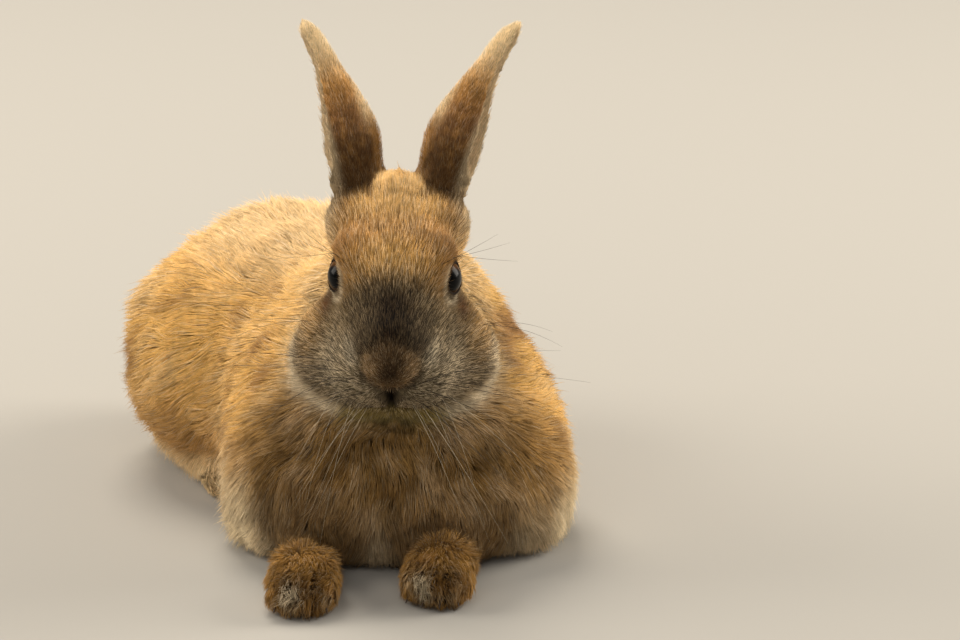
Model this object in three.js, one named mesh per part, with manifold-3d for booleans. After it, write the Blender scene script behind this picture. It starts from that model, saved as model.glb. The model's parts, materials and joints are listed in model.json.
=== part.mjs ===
// A domestic rabbit of middle size, lying on its chest with its head up and both ears raised: a still,
// life-size model. Millimetres, +Z up. It looks along -Y, its left side is +X, and it rests on Z = 0.
//
// The body is rounded masses (ribs, rump, thighs, elbows, cheeks...) that run softly into each other, out to
// the tips of the coat. It is modelled whole and then parted by thin cuts into the pieces a person would name.
import * as THREE from "three";
import { mergeVertices } from "three/addons/utils/BufferGeometryUtils.js";
import Module from "manifold-3d";

const wasm = await Module();
wasm.setup();

// ---------------------------------------------------------------- driving dimensions
const GAP = 0.35; // width of the cut between two neighbouring pieces

const BODY_WIDTH = 144; // across the ribs, coat included
const BACK_HEIGHT = 116; // highest point of the rump above the floor
const HALF = BODY_WIDTH / 2;

// The backbone seen from above. The chest faces forward and the hindquarters swing to the rabbit's right.
const BACKBONE = [
  [4, 40],
  [1, 90],
  [-20, 148],
  [-54, 203],
  [-90, 256],
];
const BACKBONE_HEIGHT = 46;

const HEAD_AT = [1.1, 50, 125]; // halfway between the eyes
const HEAD_PITCH = 33; // degrees, nose down
const HEAD_ROLL = 1; // degrees, crown towards the rabbit's left
const HEAD_YAW = -1.2; // degrees, nose towards the rabbit's right
const EYE_RADIUS = 8.4;
const EYE_APART = 39.6; // between the centres of the two eyeballs
const EYE_OPENING = [8, 7.6, 6.6]; // radii of the hollow between the lids

const EAR_BREADTH = 28; // from the fold along its inner side out to its free edges
const EAR_MOUTH = 25; // across the opening between the two free edges
const EAR_BOW = 5.5; // how far the middle of an ear bows towards the other ear
const EAR_NARROWING = { from: 0.35, to: 0.8, share: 0.42 }; // the upper part is slimmer than the lower
const EAR_TIP_FROM = 0.84; // share of the ear's length where its rounded tip starts
const EAR_THICKNESS = 3.6; // skin and short fur on both faces

const PAW_WIDTH = 31;
const PAW_HEIGHT = 22;
const HIND_FOOT_LENGTH = 88;
const HIND_FOOT_WIDTH = 24;
const TAIL_RADIUS = 17;

// ---------------------------------------------------------------- colours
const fur = (color) => new THREE.MeshStandardMaterial({ color, roughness: 0.95, metalness: 0 });
const FAWN = fur("#c1945c");
const BUFF = fur("#b08a5e");
const RUSSET = fur("#a3754a");
const DUSKY = fur("#7c5f42");
const CREAM = fur("#d9c8ac");
const EYE = new THREE.MeshStandardMaterial({ color: "#1d120b", roughness: 0.08, metalness: 0 });

// ---------------------------------------------------------------- small helpers
const vec = (x, y, z) => new THREE.Vector3(x, y, z);
const SIDES = { left: 1, right: -1 };
const degrees = THREE.MathUtils.degToRad;
const clamp = THREE.MathUtils.clamp;
const UP = vec(0, 0, 1);

// A geometry's faces as a solid, whatever normals and seams it came with.
function solidOf(geometry, inverted = false) {
  const bare = geometry.index ? geometry.toNonIndexed() : geometry.clone();
  for (const name of Object.keys(bare.attributes)) if (name !== "position") bare.deleteAttribute(name);
  const merged = mergeVertices(bare, 1e-3);
  const corners = Array.from(merged.index.array);
  const faces = [];
  for (let i = 0; i < corners.length; i += 3) {
    const [a, b, c] = corners.slice(i, i + 3);
    if (a !== b && b !== c && c !== a) faces.push(...(inverted ? [a, c, b] : [a, b, c]));
  }
  const vertProperties = merged.attributes.position.array;
  return new wasm.Manifold(new wasm.Mesh({ numProp: 3, vertProperties, triVerts: new Uint32Array(faces) }));
}

// Hangs a solid, made where it stands in the whole, in a group as a mesh placed at its own middle.
function hang(group, name, solid, material) {
  const { vertProperties, triVerts } = solid.getMesh();
  const geometry = new THREE.BufferGeometry();
  geometry.setAttribute("position", new THREE.BufferAttribute(vertProperties, 3));
  geometry.setIndex(new THREE.BufferAttribute(triVerts, 1));
  geometry.applyMatrix4(group.matrixWorld.clone().invert());
  geometry.computeBoundingBox();
  const middle = geometry.boundingBox.getCenter(vec(0, 0, 0));
  geometry.translate(-middle.x, -middle.y, -middle.z);
  geometry.computeVertexNormals();
  const mesh = new THREE.Mesh(geometry, material);
  mesh.name = name;
  mesh.position.copy(middle);
  group.add(mesh);
}

// ---------------------------------------------------------------- masses
// A mass is an egg-shaped lump: a centre, three radii and a turn. It answers with the signed distance from a
// point to its surface, negative inside, close enough for blending.
function mass(at, [rx, ry, rz], turn = new THREE.Quaternion()) {
  const back = turn.clone().invert();
  return (p) => {
    const q = p.clone().sub(at).applyQuaternion(back);
    const near = Math.hypot(q.x / rx, q.y / ry, q.z / rz);
    const slope = Math.hypot(q.x / rx ** 2, q.y / ry ** 2, q.z / rz ** 2);
    return slope < 1e-9 ? -Math.min(rx, ry, rz) : (near * (near - 1)) / slope;
  };
}

// A limb is a straight bone with flesh round it, thicker or thinner at its far end.
function limb(from, to, startRadius, endRadius) {
  const bone = to.clone().sub(from);
  return (p) => {
    const t = clamp(p.clone().sub(from).dot(bone) / bone.lengthSq(), 0, 1);
    return p.distanceTo(from.clone().addScaledVector(bone, t)) - THREE.MathUtils.lerp(startRadius, endRadius, t);
  };
}

// All the masses as one, with the creases between them filled over a distance of soft millimetres.
function blended(masses, soft) {
  return (p) =>
    masses
      .map((m) => m(p))
      .reduce((d, e) => {
        const share = clamp(0.5 + (0.5 * (e - d)) / soft, 0, 1);
        return THREE.MathUtils.lerp(e, d, share) - soft * share * (1 - share);
      });
}

// How far the surface lies from a point inside it, along a direction.
function reach(field, from, direction) {
  const at = (r) => field(from.clone().addScaledVector(direction, r));
  let outside = 0;
  for (let d = at(0); d < 0; d = at(outside)) outside += Math.max(0.6 * -d, 0.4);
  let inside = 0;
  for (let i = 0; i < 24; i++) {
    const middle = (inside + outside) / 2;
    if (at(middle) < 0 && middle > inside) inside = middle;
    else outside = middle;
  }
  return outside;
}

// A closed surface over a field, seen from a line inside it: each vertex of a thin capsule goes out along its
// own normal until it meets the field's surface. grow moves the whole surface outwards.
function coatOver(field, line, { around, along, caps, upward = UP, grow = 0 }) {
  const capsule = new THREE.CapsuleGeometry(1, 1, caps, around, along);
  const { position, normal } = capsule.attributes;
  for (let i = 0; i < position.count; i++) {
    const t = clamp(position.getY(i) - normal.getY(i) + 0.5, 0, 1);
    const origin = line.getPointAt(t);
    const tangent = line.getTangentAt(t);
    const across = tangent.clone().cross(upward).normalize();
    const rise = across.clone().cross(tangent);
    const direction = across
      .multiplyScalar(normal.getX(i))
      .addScaledVector(tangent, normal.getY(i))
      .addScaledVector(rise, normal.getZ(i))
      .normalize();
    const p = origin.clone().addScaledVector(direction, reach(field, origin, direction) + grow);
    position.setXYZ(i, p.x, p.y, p.z);
  }
  return solidOf(capsule);
}

const lineBetween = (from, to) => new THREE.LineCurve3(from, to);

// A plain block above or below a tilted plane: the plane passes through a point, and its normal points into
// the block.
function blockBeyond(point, normal, size = 600) {
  const block = new THREE.BoxGeometry(size, size, size).translate(0, 0, size / 2);
  block.applyQuaternion(new THREE.Quaternion().setFromUnitVectors(UP, normal));
  return solidOf(block.translate(point.x, point.y, point.z));
}

const belowFloor = blockBeyond(vec(0, 0, 0), vec(0, 0, -1));

// ---------------------------------------------------------------- trunk, thighs and elbows
const backbone = new THREE.CatmullRomCurve3(BACKBONE.map(([x, y]) => vec(x, y, BACKBONE_HEIGHT)));
const BACKBONE_LENGTH = backbone.getLength();

// A place in the body: millimetres along the backbone from its front end, out to the left, and up.
function inBody(along, out, height) {
  const t = clamp(along / BACKBONE_LENGTH, 0, 1);
  const left = UP.clone().cross(backbone.getTangentAt(t)).negate();
  return backbone.getPointAt(t).addScaledVector(left, out).setZ(height);
}

// The turn that carries +Y onto the backbone's direction there.
function headingAt(along) {
  const tangent = backbone.getTangentAt(clamp(along / BACKBONE_LENGTH, 0, 1));
  return new THREE.Quaternion().setFromUnitVectors(vec(0, 1, 0), tangent);
}

// radii are across, along and up.
const bodyMass = (along, out, height, radii) => mass(inBody(along, out, height), radii, headingAt(along));
const onBothSides = (make) => Object.values(SIDES).map(make);

const THIGH = { along: 160, out: 0.58 * HALF, height: 50, radii: [38, 52, 46] };
const ELBOW = { along: 36, out: 0.76 * HALF, height: 24, radii: [22, 38, 32] };

const bodyField = blended(
  [
    bodyMass(32, 0, 34, [0.86 * HALF, 44, 39]), // deep chest with its fluff
    bodyMass(13, 0, 31, [50, 28, 34]), // front of the chest, between the paws
    bodyMass(14, 0, 50, [40, 26, 34]), // ruff under the chin
    bodyMass(56, 0, 52, [0.97 * HALF, 50, 54]), // shoulders
    bodyMass(66, 0, 68, [53, 48, 46]), // withers
    bodyMass(104, 0, 48, [0.9 * HALF, 60, 54]), // ribs and belly
    bodyMass(132, 0, BACK_HEIGHT - 48, [46, 66, 48]), // loins
    bodyMass(168, 0, BACK_HEIGHT - 60, [0.96 * HALF, 56, 59]), // rump
    bodyMass(202, 0, 38, [44, 34, 40]), // croup
    mass(vec(3, 90, 108), [34, 33, 36]), // neck
    ...onBothSides((side) => bodyMass(THIGH.along, side * THIGH.out, THIGH.height, THIGH.radii)),
    ...onBothSides((side) => bodyMass(ELBOW.along, side * ELBOW.out, ELBOW.height, ELBOW.radii)),
  ],
  22,
);

const trunkLine = new THREE.CatmullRomCurve3([
  inBody(30, 0, 42),
  inBody(80, 0, 50),
  inBody(140, 0, 50),
  inBody(190, 0, 42),
]);
const bodyShape = () => coatOver(bodyField, trunkLine, { around: 26, along: 16, caps: 6 });

// ---------------------------------------------------------------- head
// Places in the head: x to the left, y back from the eyes along the skull, z towards the crown.
const headTurn = new THREE.Quaternion().setFromEuler(
  new THREE.Euler(degrees(HEAD_PITCH), degrees(HEAD_ROLL), degrees(HEAD_YAW), "ZYX"),
);
const headFrame = new THREE.Matrix4().compose(vec(...HEAD_AT), headTurn, vec(1, 1, 1));
const inHead = (x, y, z) => vec(x, y, z).applyMatrix4(headFrame);
const headMass = (x, y, z, radii) => mass(inHead(x, y, z), radii, headTurn);

const skullField = blended(
  [
    headMass(0, 4, -3, [25, 34, 24]), // forehead and skull
    headMass(0, 30, -6, [25, 24, 23]), // back of the head
    headMass(0, -25, 1, [17, 26, 15]), // bridge of the nose
    headMass(0, -41, -9, [13, 13, 13]), // tip of the nose
    headMass(0, 38, 11, [11, 12, 14]), // tuft between the ears
    headMass(0, -20, -37, [33, 24, 19]), // lower jaw
    headMass(0, 6, -37, [29, 26, 20]), // throat
    ...onBothSides((side) => headMass(side * 12, -34, -19, [15, 15, 13])), // whisker pads
    ...onBothSides((side) => headMass(side * 13, -20, -14, [12, 22, 16])), // sides of the nose
    ...onBothSides((side) => headMass(side * 19, 3, 9, [9, 13, 9])), // brows
    ...onBothSides((side) => headMass(side * 19, 34, -5, [12, 14, 15])), // roots of the ears
    ...onBothSides((side) => headMass(side * 21, -10, -36, [24, 25, 23])), // cheeks
    ...onBothSides((side) => headMass(side * 17, -2, -21, [12, 20, 14])), // cheekbones
  ],
  9,
);

const skullLine = lineBetween(inHead(0, 32, -8), inHead(0, -34, -14));
const skullShape = (grow) => coatOver(skullField, skullLine, { around: 26, along: 11, caps: 6, grow });

// ---------------------------------------------------------------- eyes
const eyeAt = (side) => inHead((side * EYE_APART) / 2, 0, 1);
const ball = (at, radius) => solidOf(new THREE.SphereGeometry(radius, 20, 14).translate(at.x, at.y, at.z));

// ---------------------------------------------------------------- ears
// An ear is a leaf folded lengthwise into a deep trough. The fold runs up its inner side, the trough opens
// outwards, and the rear half of the leaf is a little broader than the front half.
const EARS = {
  left: { root: [16.5, 36, -3], tip: [55, 125, 219], turned: 6 },
  right: { root: [-17, 36, -3], tip: [-40.5, 125, 220], turned: 6 },
};
const squared = (v) => Math.sign(v) * Math.abs(v) ** 0.7;
const between = (a, low, high, from, to) => THREE.MathUtils.lerp(from, to, THREE.MathUtils.smoothstep(a, low, high));

// How broad an ear is at a share of its length, against its broadest.
function earTaper(a) {
  const rootEnd = Math.min(1, Math.sqrt(a / 0.1));
  const tipEnd = Math.sqrt(1 - (Math.max(0, a - EAR_TIP_FROM) / (1 - EAR_TIP_FROM)) ** 2);
  return rootEnd * tipEnd * between(a, EAR_NARROWING.from, EAR_NARROWING.to, 1, EAR_NARROWING.share);
}

function earSolid(name) {
  const { root, tip, turned } = EARS[name];
  const from = inHead(...root);
  const rise = vec(...tip).sub(from);
  const upward = rise.clone().normalize();
  const outward = vec(SIDES[name], 0, 0).addScaledVector(upward, -SIDES[name] * upward.x).normalize();
  outward.applyAxisAngle(upward, degrees(SIDES[name] * turned));
  const backward = upward.clone().cross(outward).multiplyScalar(SIDES[name]);

  const leaf = new THREE.SphereGeometry(1, 16, 12);
  const { position } = leaf.attributes;
  for (let i = 0; i < position.count; i++) {
    const a = (position.getY(i) + 1) / 2;
    const ring = Math.max(Math.hypot(position.getX(i), position.getZ(i)), 1e-6);
    const taper = earTaper(a);
    const breadth = EAR_BREADTH * taper * between(a, 0, 0.4, 0.74, 1);
    const mouth = (EAR_MOUTH / 2) * taper * between(a, 0, 0.3, 0.72, 1);
    const curl = between(a, 0, 0.4, 2.4, 1.65);
    const turn = curl * squared(position.getX(i) / ring);
    const share = (turn < 0 ? 0.8 : 1) / (1 - Math.cos(curl));
    const out = breadth * ((1 - Math.cos(turn)) * share - 0.5);
    const back = mouth * Math.sin(turn);
    const normal = new THREE.Vector2(-mouth * Math.cos(turn), breadth * Math.sin(turn) * share).normalize();
    const half = Math.min(EAR_THICKNESS / 2, 0.25 * mouth) * squared(position.getZ(i) / ring);
    const bow = -EAR_BOW * 4 * a * (1 - a);
    const p = from
      .clone()
      .addScaledVector(rise, a)
      .addScaledVector(outward, out + bow + normal.x * half)
      .addScaledVector(backward, back + normal.y * half);
    position.setXYZ(i, p.x, p.y, p.z);
  }
  return solidOf(leaf, name === "left"); // the left ear is a mirror image, so its faces turn round
}

// ---------------------------------------------------------------- paws and hind feet
const TOES = 4;
const toeNumbers = [...Array(TOES).keys()];
const spreadOf = (toe) => toe / (TOES - 1) - 0.5; // -0.5 for the toe on the right, 0.5 for the one on the left

// A frame on the floor: millimetres ahead of a place, out to the left, and up.
function floorFrame(place, forward) {
  const left = forward.clone().cross(UP).negate();
  return (ahead, out, height) =>
    place.clone().addScaledVector(forward, ahead).addScaledVector(left, out).setZ(height);
}

const PAWS = {
  left: { toes: [18, -8], wrist: [25, 36] },
  right: { toes: [-37, -18], wrist: [-35, 34] },
};
const TOE_RADIUS = 0.155 * PAW_WIDTH;

const pawShape = (name) => (grow) => {
  const toes = vec(...PAWS[name].toes, 0);
  const wrist = vec(...PAWS[name].wrist, 0);
  const forward = toes.clone().sub(wrist).normalize();
  const at = floorFrame(toes, forward);
  const turn = new THREE.Quaternion().setFromUnitVectors(vec(0, -1, 0), forward);
  const field = blended(
    [
      mass(at(-13, 0, PAW_HEIGHT * 0.47), [PAW_WIDTH * 0.47, 20, PAW_HEIGHT * 0.5], turn), // knuckles
      limb(at(-16, 0, PAW_HEIGHT * 0.5), at(-44, 0, PAW_HEIGHT * 0.56), 12, 12.5), // wrist
      ...toeNumbers.map((toe) => {
        const out = spreadOf(toe) * (PAW_WIDTH - 2.4 * TOE_RADIUS);
        const tip = at(3 - 0.045 * out ** 2, out, TOE_RADIUS + 1);
        return limb(at(-14, out * 0.9, 12), tip, TOE_RADIUS + 1.5, TOE_RADIUS + 1);
      }),
    ],
    3,
  );
  return coatOver(field, lineBetween(at(-44, 0, 11), at(-4, 0, 9)), { around: 14, along: 6, caps: 4, grow });
};

// Each long hind foot lies flat along the flank, heel under the rump and toes by the belly.
const hindFootShape = (name) => (grow) => {
  const side = SIDES[name];
  const heel = inBody(THIGH.along + 46, side * 0.56 * HALF, 0);
  const toes = inBody(THIGH.along + 56 - HIND_FOOT_LENGTH, side * 0.76 * HALF, 0);
  const forward = toes.clone().sub(heel).normalize();
  const at = floorFrame(toes, forward);
  const field = blended(
    [
      limb(heel.clone().setZ(11), at(0, 0, 8), HIND_FOOT_WIDTH * 0.48, HIND_FOOT_WIDTH * 0.4),
      ...toeNumbers.map((toe) => {
        const out = spreadOf(toe) * HIND_FOOT_WIDTH * 0.72;
        return limb(at(0, out * 0.8, 7), at(9 - 0.05 * out ** 2, out, 5.5), 6, 4.6);
      }),
    ],
    3,
  );
  return coatOver(field, lineBetween(heel.setZ(10), at(0, 0, 8)), { around: 12, along: 5, caps: 3, grow });
};

// ---------------------------------------------------------------- tail
const tailFrame = floorFrame(inBody(BACKBONE_LENGTH, 0, 0), backbone.getTangentAt(1));
const tailTurn = headingAt(BACKBONE_LENGTH);
const tailField = blended(
  [
    mass(tailFrame(-2, 0, 34), [TAIL_RADIUS, TAIL_RADIUS * 0.9, TAIL_RADIUS * 1.1], tailTurn),
    mass(tailFrame(0, 0, 50), [TAIL_RADIUS * 0.7, TAIL_RADIUS * 0.7, TAIL_RADIUS * 0.9], tailTurn),
  ],
  8,
);
const tailShape = (grow) =>
  coatOver(tailField, lineBetween(tailFrame(-2, 0, 32), tailFrame(-1, 0, 48)), {
    around: 14,
    along: 3,
    caps: 4,
    upward: vec(0, 1, 0),
    grow,
  });

// ---------------------------------------------------------------- cuts
// What lies inside an egg round the thigh or the elbow belongs to the leg.
function eggCut({ along, out, height, radii }, side, grow) {
  const egg = new THREE.SphereGeometry(1, 16, 9).rotateX(Math.PI / 2);
  egg.scale(...radii.map((radius) => radius + grow)).applyQuaternion(headingAt(along));
  const at = inBody(along, side * out, height);
  return solidOf(egg.translate(at.x, at.y, at.z));
}

const THIGH_CUT = { ...THIGH, out: 0.92 * HALF, height: 36, radii: [30, 54, 44] };
const ELBOW_CUT = { ...ELBOW, out: 0.98 * HALF, height: 20, radii: [26, 34, 32] };
const LEG_CUTS = {
  foreleg: (name, grow) => eggCut(ELBOW_CUT, SIDES[name], grow),
  hindleg: (name, grow) => eggCut(THIGH_CUT, SIDES[name], grow),
};

// The neck is cut from the shoulders by a plane that falls from the nape to the throat.
const NECK_CUT = { at: vec(0, 74, 93), normal: vec(0, -0.52, 0.85).normalize() };
const aboveNeckCut = (gap) =>
  blockBeyond(NECK_CUT.at.clone().addScaledVector(NECK_CUT.normal, gap), NECK_CUT.normal);

// ---------------------------------------------------------------- the pieces
const largest = (solid) => solid.decompose().sort((a, b) => b.volume() - a.volume())[0];
const less = (solid, ...cutters) => cutters.reduce((rest, cutter) => rest.subtract(cutter), solid);

const names = Object.keys(SIDES);

// An egg in the head's frame, for the eyeballs and for the openings of the lids.
function headEgg(x, y, z, radii) {
  const egg = new THREE.SphereGeometry(1, 12, 9).rotateZ(Math.PI / 2).scale(...radii);
  const at = inHead(x, y, z);
  return solidOf(egg.applyQuaternion(headTurn).translate(at.x, at.y, at.z));
}
const eyeX = (name) => (SIDES[name] * EYE_APART) / 2;
const eyeBall = (name, grow) => headEgg(eyeX(name), 0, 1, Array(3).fill(EYE_RADIUS + grow));
const eyeOpening = (name) => headEgg(eyeX(name) + SIDES[name] * EYE_RADIUS, 0, 1, EYE_OPENING);

const pieces = {};
pieces.head = less(skullShape(0), ...names.flatMap((name) => [eyeBall(name, GAP), eyeOpening(name)]));
let rest = less(bodyShape(), belowFloor, skullShape(GAP), tailShape(GAP));
pieces.tail = tailShape(0);
for (const name of names) {
  const paw = pawShape(name);
  const hindFoot = hindFootShape(name);
  pieces[`eye_${name}`] = eyeBall(name, 0);
  pieces[`ear_${name}`] = largest(less(earSolid(name), skullShape(GAP)));
  pieces[`forepaw_${name}`] = less(paw(0), belowFloor);
  pieces[`hindfoot_${name}`] = less(hindFoot(0), belowFloor);
  rest = less(rest, paw(GAP), hindFoot(GAP));
}
pieces.neck = largest(rest.intersect(aboveNeckCut(GAP)));
rest = rest.subtract(aboveNeckCut(0));
for (const [leg, cut] of Object.entries(LEG_CUTS)) {
  for (const name of names) {
    pieces[`${leg}_${name}`] = largest(rest.intersect(cut(name, -GAP)));
    rest = rest.subtract(cut(name, 0));
  }
}
pieces.trunk = largest(rest);

const COLOURS = {
  trunk: FAWN,
  neck: BUFF,
  head: DUSKY,
  ear: BUFF,
  eye: EYE,
  foreleg: BUFF,
  forepaw: RUSSET,
  hindleg: FAWN,
  hindfoot: CREAM,
  tail: CREAM,
};

// The trunk carries the head's group, which stands and is turned as the head's own frame.
const trunkGroup = new THREE.Group();
const headGroup = new THREE.Group();
headGroup.position.set(...HEAD_AT);
headGroup.quaternion.copy(headTurn);
trunkGroup.add(headGroup);
trunkGroup.updateMatrixWorld(true);

const ON_HEAD = ["head", "ear", "eye"];
for (const [name, piece] of Object.entries(pieces)) {
  const kind = name.split("_")[0];
  hang(ON_HEAD.includes(kind) ? headGroup : trunkGroup, name, piece, COLOURS[kind]);
}

// The origin lies on the floor, under the middle of the whole.
const middle = new THREE.Box3().setFromObject(trunkGroup, true).getCenter(vec(0, 0, 0));
trunkGroup.position.set(-middle.x, -middle.y, 0);

const rabbit = new THREE.Group();
rabbit.name = "rabbit";
rabbit.add(trunkGroup);

export default rabbit;
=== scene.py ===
# %% [markdown]
# A life-size rabbit lies on its chest with its head up, as a museum would show it.
# The solids of the frame give its true outline, out to the tips of the coat. Here they get what makes
# them an animal: one skin, two wet eyes, claws, whiskers, and a coat of about 250,000 tufts.
# Each step below says what a piece is on the real rabbit, how it could be made, and why this way was chosen.

# %% The fixed frame
import json
import math

import bmesh
import bpy
import numpy as np
from mathutils import Euler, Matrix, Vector
from mathutils.bvhtree import BVHTree
from mathutils.kdtree import KDTree

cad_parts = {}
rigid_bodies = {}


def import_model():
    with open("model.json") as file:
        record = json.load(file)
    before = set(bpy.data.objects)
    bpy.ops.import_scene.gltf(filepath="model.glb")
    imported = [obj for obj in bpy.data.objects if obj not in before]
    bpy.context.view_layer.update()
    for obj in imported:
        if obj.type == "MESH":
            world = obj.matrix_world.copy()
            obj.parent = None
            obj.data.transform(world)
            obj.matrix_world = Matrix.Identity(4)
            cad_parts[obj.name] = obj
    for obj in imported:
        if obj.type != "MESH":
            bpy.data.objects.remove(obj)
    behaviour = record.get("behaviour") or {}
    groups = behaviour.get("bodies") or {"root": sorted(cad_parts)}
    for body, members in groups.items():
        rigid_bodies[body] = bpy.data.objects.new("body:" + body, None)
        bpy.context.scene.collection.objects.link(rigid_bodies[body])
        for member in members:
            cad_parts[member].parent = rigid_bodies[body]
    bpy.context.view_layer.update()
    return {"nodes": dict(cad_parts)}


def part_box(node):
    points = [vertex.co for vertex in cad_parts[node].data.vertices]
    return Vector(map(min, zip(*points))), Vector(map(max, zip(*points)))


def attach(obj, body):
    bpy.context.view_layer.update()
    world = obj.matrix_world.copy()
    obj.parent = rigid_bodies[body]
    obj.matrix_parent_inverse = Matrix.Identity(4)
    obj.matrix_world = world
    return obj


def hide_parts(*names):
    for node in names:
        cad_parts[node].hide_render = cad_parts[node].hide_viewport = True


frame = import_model()
print("nodes:", sorted(frame["nodes"]))

# %% [markdown]
# Blender counts in metres, but a rabbit is easier to think about in millimetres. So all the sums below
# are done in millimetres, in the maker's frame: it has the floor at height 0 and the middle of the eyes
# at EYES_AT, and at the end a mesh is moved into the shared frame and scaled to metres in one step.
# The head has axes of its own (x to its left, y to the back of the skull, z to the crown), because lids,
# nostrils and markings are far easier to place on a head that looks straight ahead.

# %% The maker's frame and the head's own axes
MM = 0.001
SIDES = {"left": 1.0, "right": -1.0}
HEAD_AT = np.array([1.1, 50.0, 125.0])
HEAD_PITCH = 33.0
HEAD_ROLL = 1.0
HEAD_YAW = -1.2
EYE_HEIGHT = 1.0
EYE_APART = 39.6
EYE_RADIUS = 8.4

head_angles = [math.radians(angle) for angle in (HEAD_PITCH, HEAD_ROLL, HEAD_YAW)]
HEAD_TURN = np.array(Euler(head_angles, "XYZ").to_matrix())


def in_head(x, y, z):
    """A place given along the head's own axes."""
    return HEAD_AT + HEAD_TURN @ np.array([x, y, z], float)


def head_axes(points):
    """The head's own x, y and z of many places."""
    return (points - HEAD_AT) @ HEAD_TURN


def box_middle(node):
    low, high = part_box(node)
    return (np.array(low) + np.array(high)) / 2 / MM


eyes_middle = (box_middle("eye_left") + box_middle("eye_right")) / 2
SHIFT = eyes_middle - in_head(0, 0, EYE_HEIGHT)
print("the maker's frame is shifted by", SHIFT.round(3), "mm")


def to_metres(points):
    return (np.asarray(points) + SHIFT) * MM


def smooth(value, low, high):
    """0 at low and before it, 1 at high and beyond it, and an even S between. High may be the smaller."""
    share = np.clip((value - low) / (high - low), 0.0, 1.0)
    return share * share * (3.0 - 2.0 * share)


def hump(value, width):
    """1 where a value is 0, and a soft fall to 0 on either side, of about the width given."""
    return np.exp(-((value / width) ** 2))


def unit(vectors):
    return vectors / np.maximum(np.linalg.norm(vectors, axis=-1, keepdims=True), 1e-9)


def mix(a, b, share):
    """From a to b, by a share for each point."""
    share = np.asarray(share)
    if np.ndim(a) > share.ndim or np.ndim(b) > share.ndim:
        share = share[..., None]
    return a + (b - a) * share


def paint(code):
    """A colour given as it looks on a screen, as the linear values that shaders use."""
    shown = np.array([int(code[i:i + 2], 16) for i in (1, 3, 5)]) / 255
    return np.where(shown < 0.04045, shown / 12.92, ((shown + 0.055) / 1.055) ** 2.4)


def mesh_of(bm, name):
    """The mesh that a bmesh has become."""
    mesh = bpy.data.meshes.new(name)
    bm.to_mesh(mesh)
    bm.free()
    return mesh


def in_scene(name, data):
    """A new object in the scene, for a mesh, a camera or a light."""
    thing = bpy.data.objects.new(name, data)
    bpy.context.scene.collection.objects.link(thing)
    return thing


# %% [markdown]
# Fur is never even: it darkens and lightens in soft patches, and its lie wanders. A cloud of soft random
# values drives all of that. It is worked out from a seed, so the rabbit is the same on every run.

# %% Soft random values
CLOUD_CELLS = 32


def cloud(points, size, seed):
    """Values from -1 to 1 that change softly over about size millimetres."""
    lattice = np.random.default_rng(seed).uniform(-1, 1, (CLOUD_CELLS,) * 3)
    place = np.asarray(points) / size
    cell = np.floor(place).astype(int)
    inside = place - cell
    inside = inside * inside * (3 - 2 * inside)
    total = np.zeros(len(place))
    for corner in np.ndindex(2, 2, 2):
        x, y, z = ((cell + corner) % CLOUD_CELLS).T
        share = np.where(corner, inside, 1 - inside).prod(axis=1)
        total += lattice[x, y, z] * share
    return total


# %% [markdown]
# The camera stands two metres off and looks 17 degrees down through a long lens, so the rabbit shows
# nearly free of perspective. It aims at a point beside the rabbit's left cheek, and the rabbit lies a
# little left of the middle of the view.

# %% The camera
LOOK_DOWN = math.radians(17)
CAMERA_AIM = np.array([37.0, 45.0, 117.0])
CAMERA_DISTANCE = 2000.0
CAMERA_DROP = 8.4
CAMERA_LENS = 178.6

look = np.array([0, math.cos(LOOK_DOWN), -math.sin(LOOK_DOWN)])
rise = np.array([0, math.sin(LOOK_DOWN), math.cos(LOOK_DOWN)])
camera_data = bpy.data.cameras.new("camera")
camera_data.lens = CAMERA_LENS
camera_data.sensor_width = 36.0
camera = in_scene("camera", camera_data)
camera.location = to_metres(CAMERA_AIM - CAMERA_DISTANCE * look - CAMERA_DROP * rise)
camera.rotation_euler = (math.pi / 2 - LOOK_DOWN, 0, 0)
bpy.context.scene.camera = camera
print("camera at", [round(value, 3) for value in camera.location])

# %% [markdown]
# The stage is a plain pale floor under soft studio light. Fur shows its depth when light skims over it,
# so the broad key light hangs high behind the rabbit and rims the crown, the ears and the rump. A wide
# fill from the front opens the shade on the face and chest, and the sky colour keeps the darks alive.

# %% A material with its shader
def material_with_shader(name, **settings):
    """A new material, its node tree's nodes and links, and its Principled shader with the settings given."""
    material = bpy.data.materials.new(name)
    material.use_nodes = True
    tree = material.node_tree
    shader = tree.nodes["Principled BSDF"]
    for socket, value in settings.items():
        shader.inputs[socket.replace("_", " ")].default_value = value
    return material, tree.nodes, tree.links, shader


# %% The floor and the light
FLOOR_HALF = 5.0
FLOOR_SHADE = (0.44, 0.42, 0.385, 1)
LIT_POINT = Vector((0, 0, 0.08))
SKY_COLOUR = (0.96, 0.95, 0.92, 1)
SKY_STRENGTH = 0.24

floor_bm = bmesh.new()
bmesh.ops.create_grid(floor_bm, x_segments=1, y_segments=1, size=FLOOR_HALF)
floor_mesh = mesh_of(floor_bm, "floor")
floor = in_scene("floor", floor_mesh)
floor_material = material_with_shader("studio_floor", Roughness=0.9, Base_Color=FLOOR_SHADE)[0]
floor_mesh.materials.append(floor_material)

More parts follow.
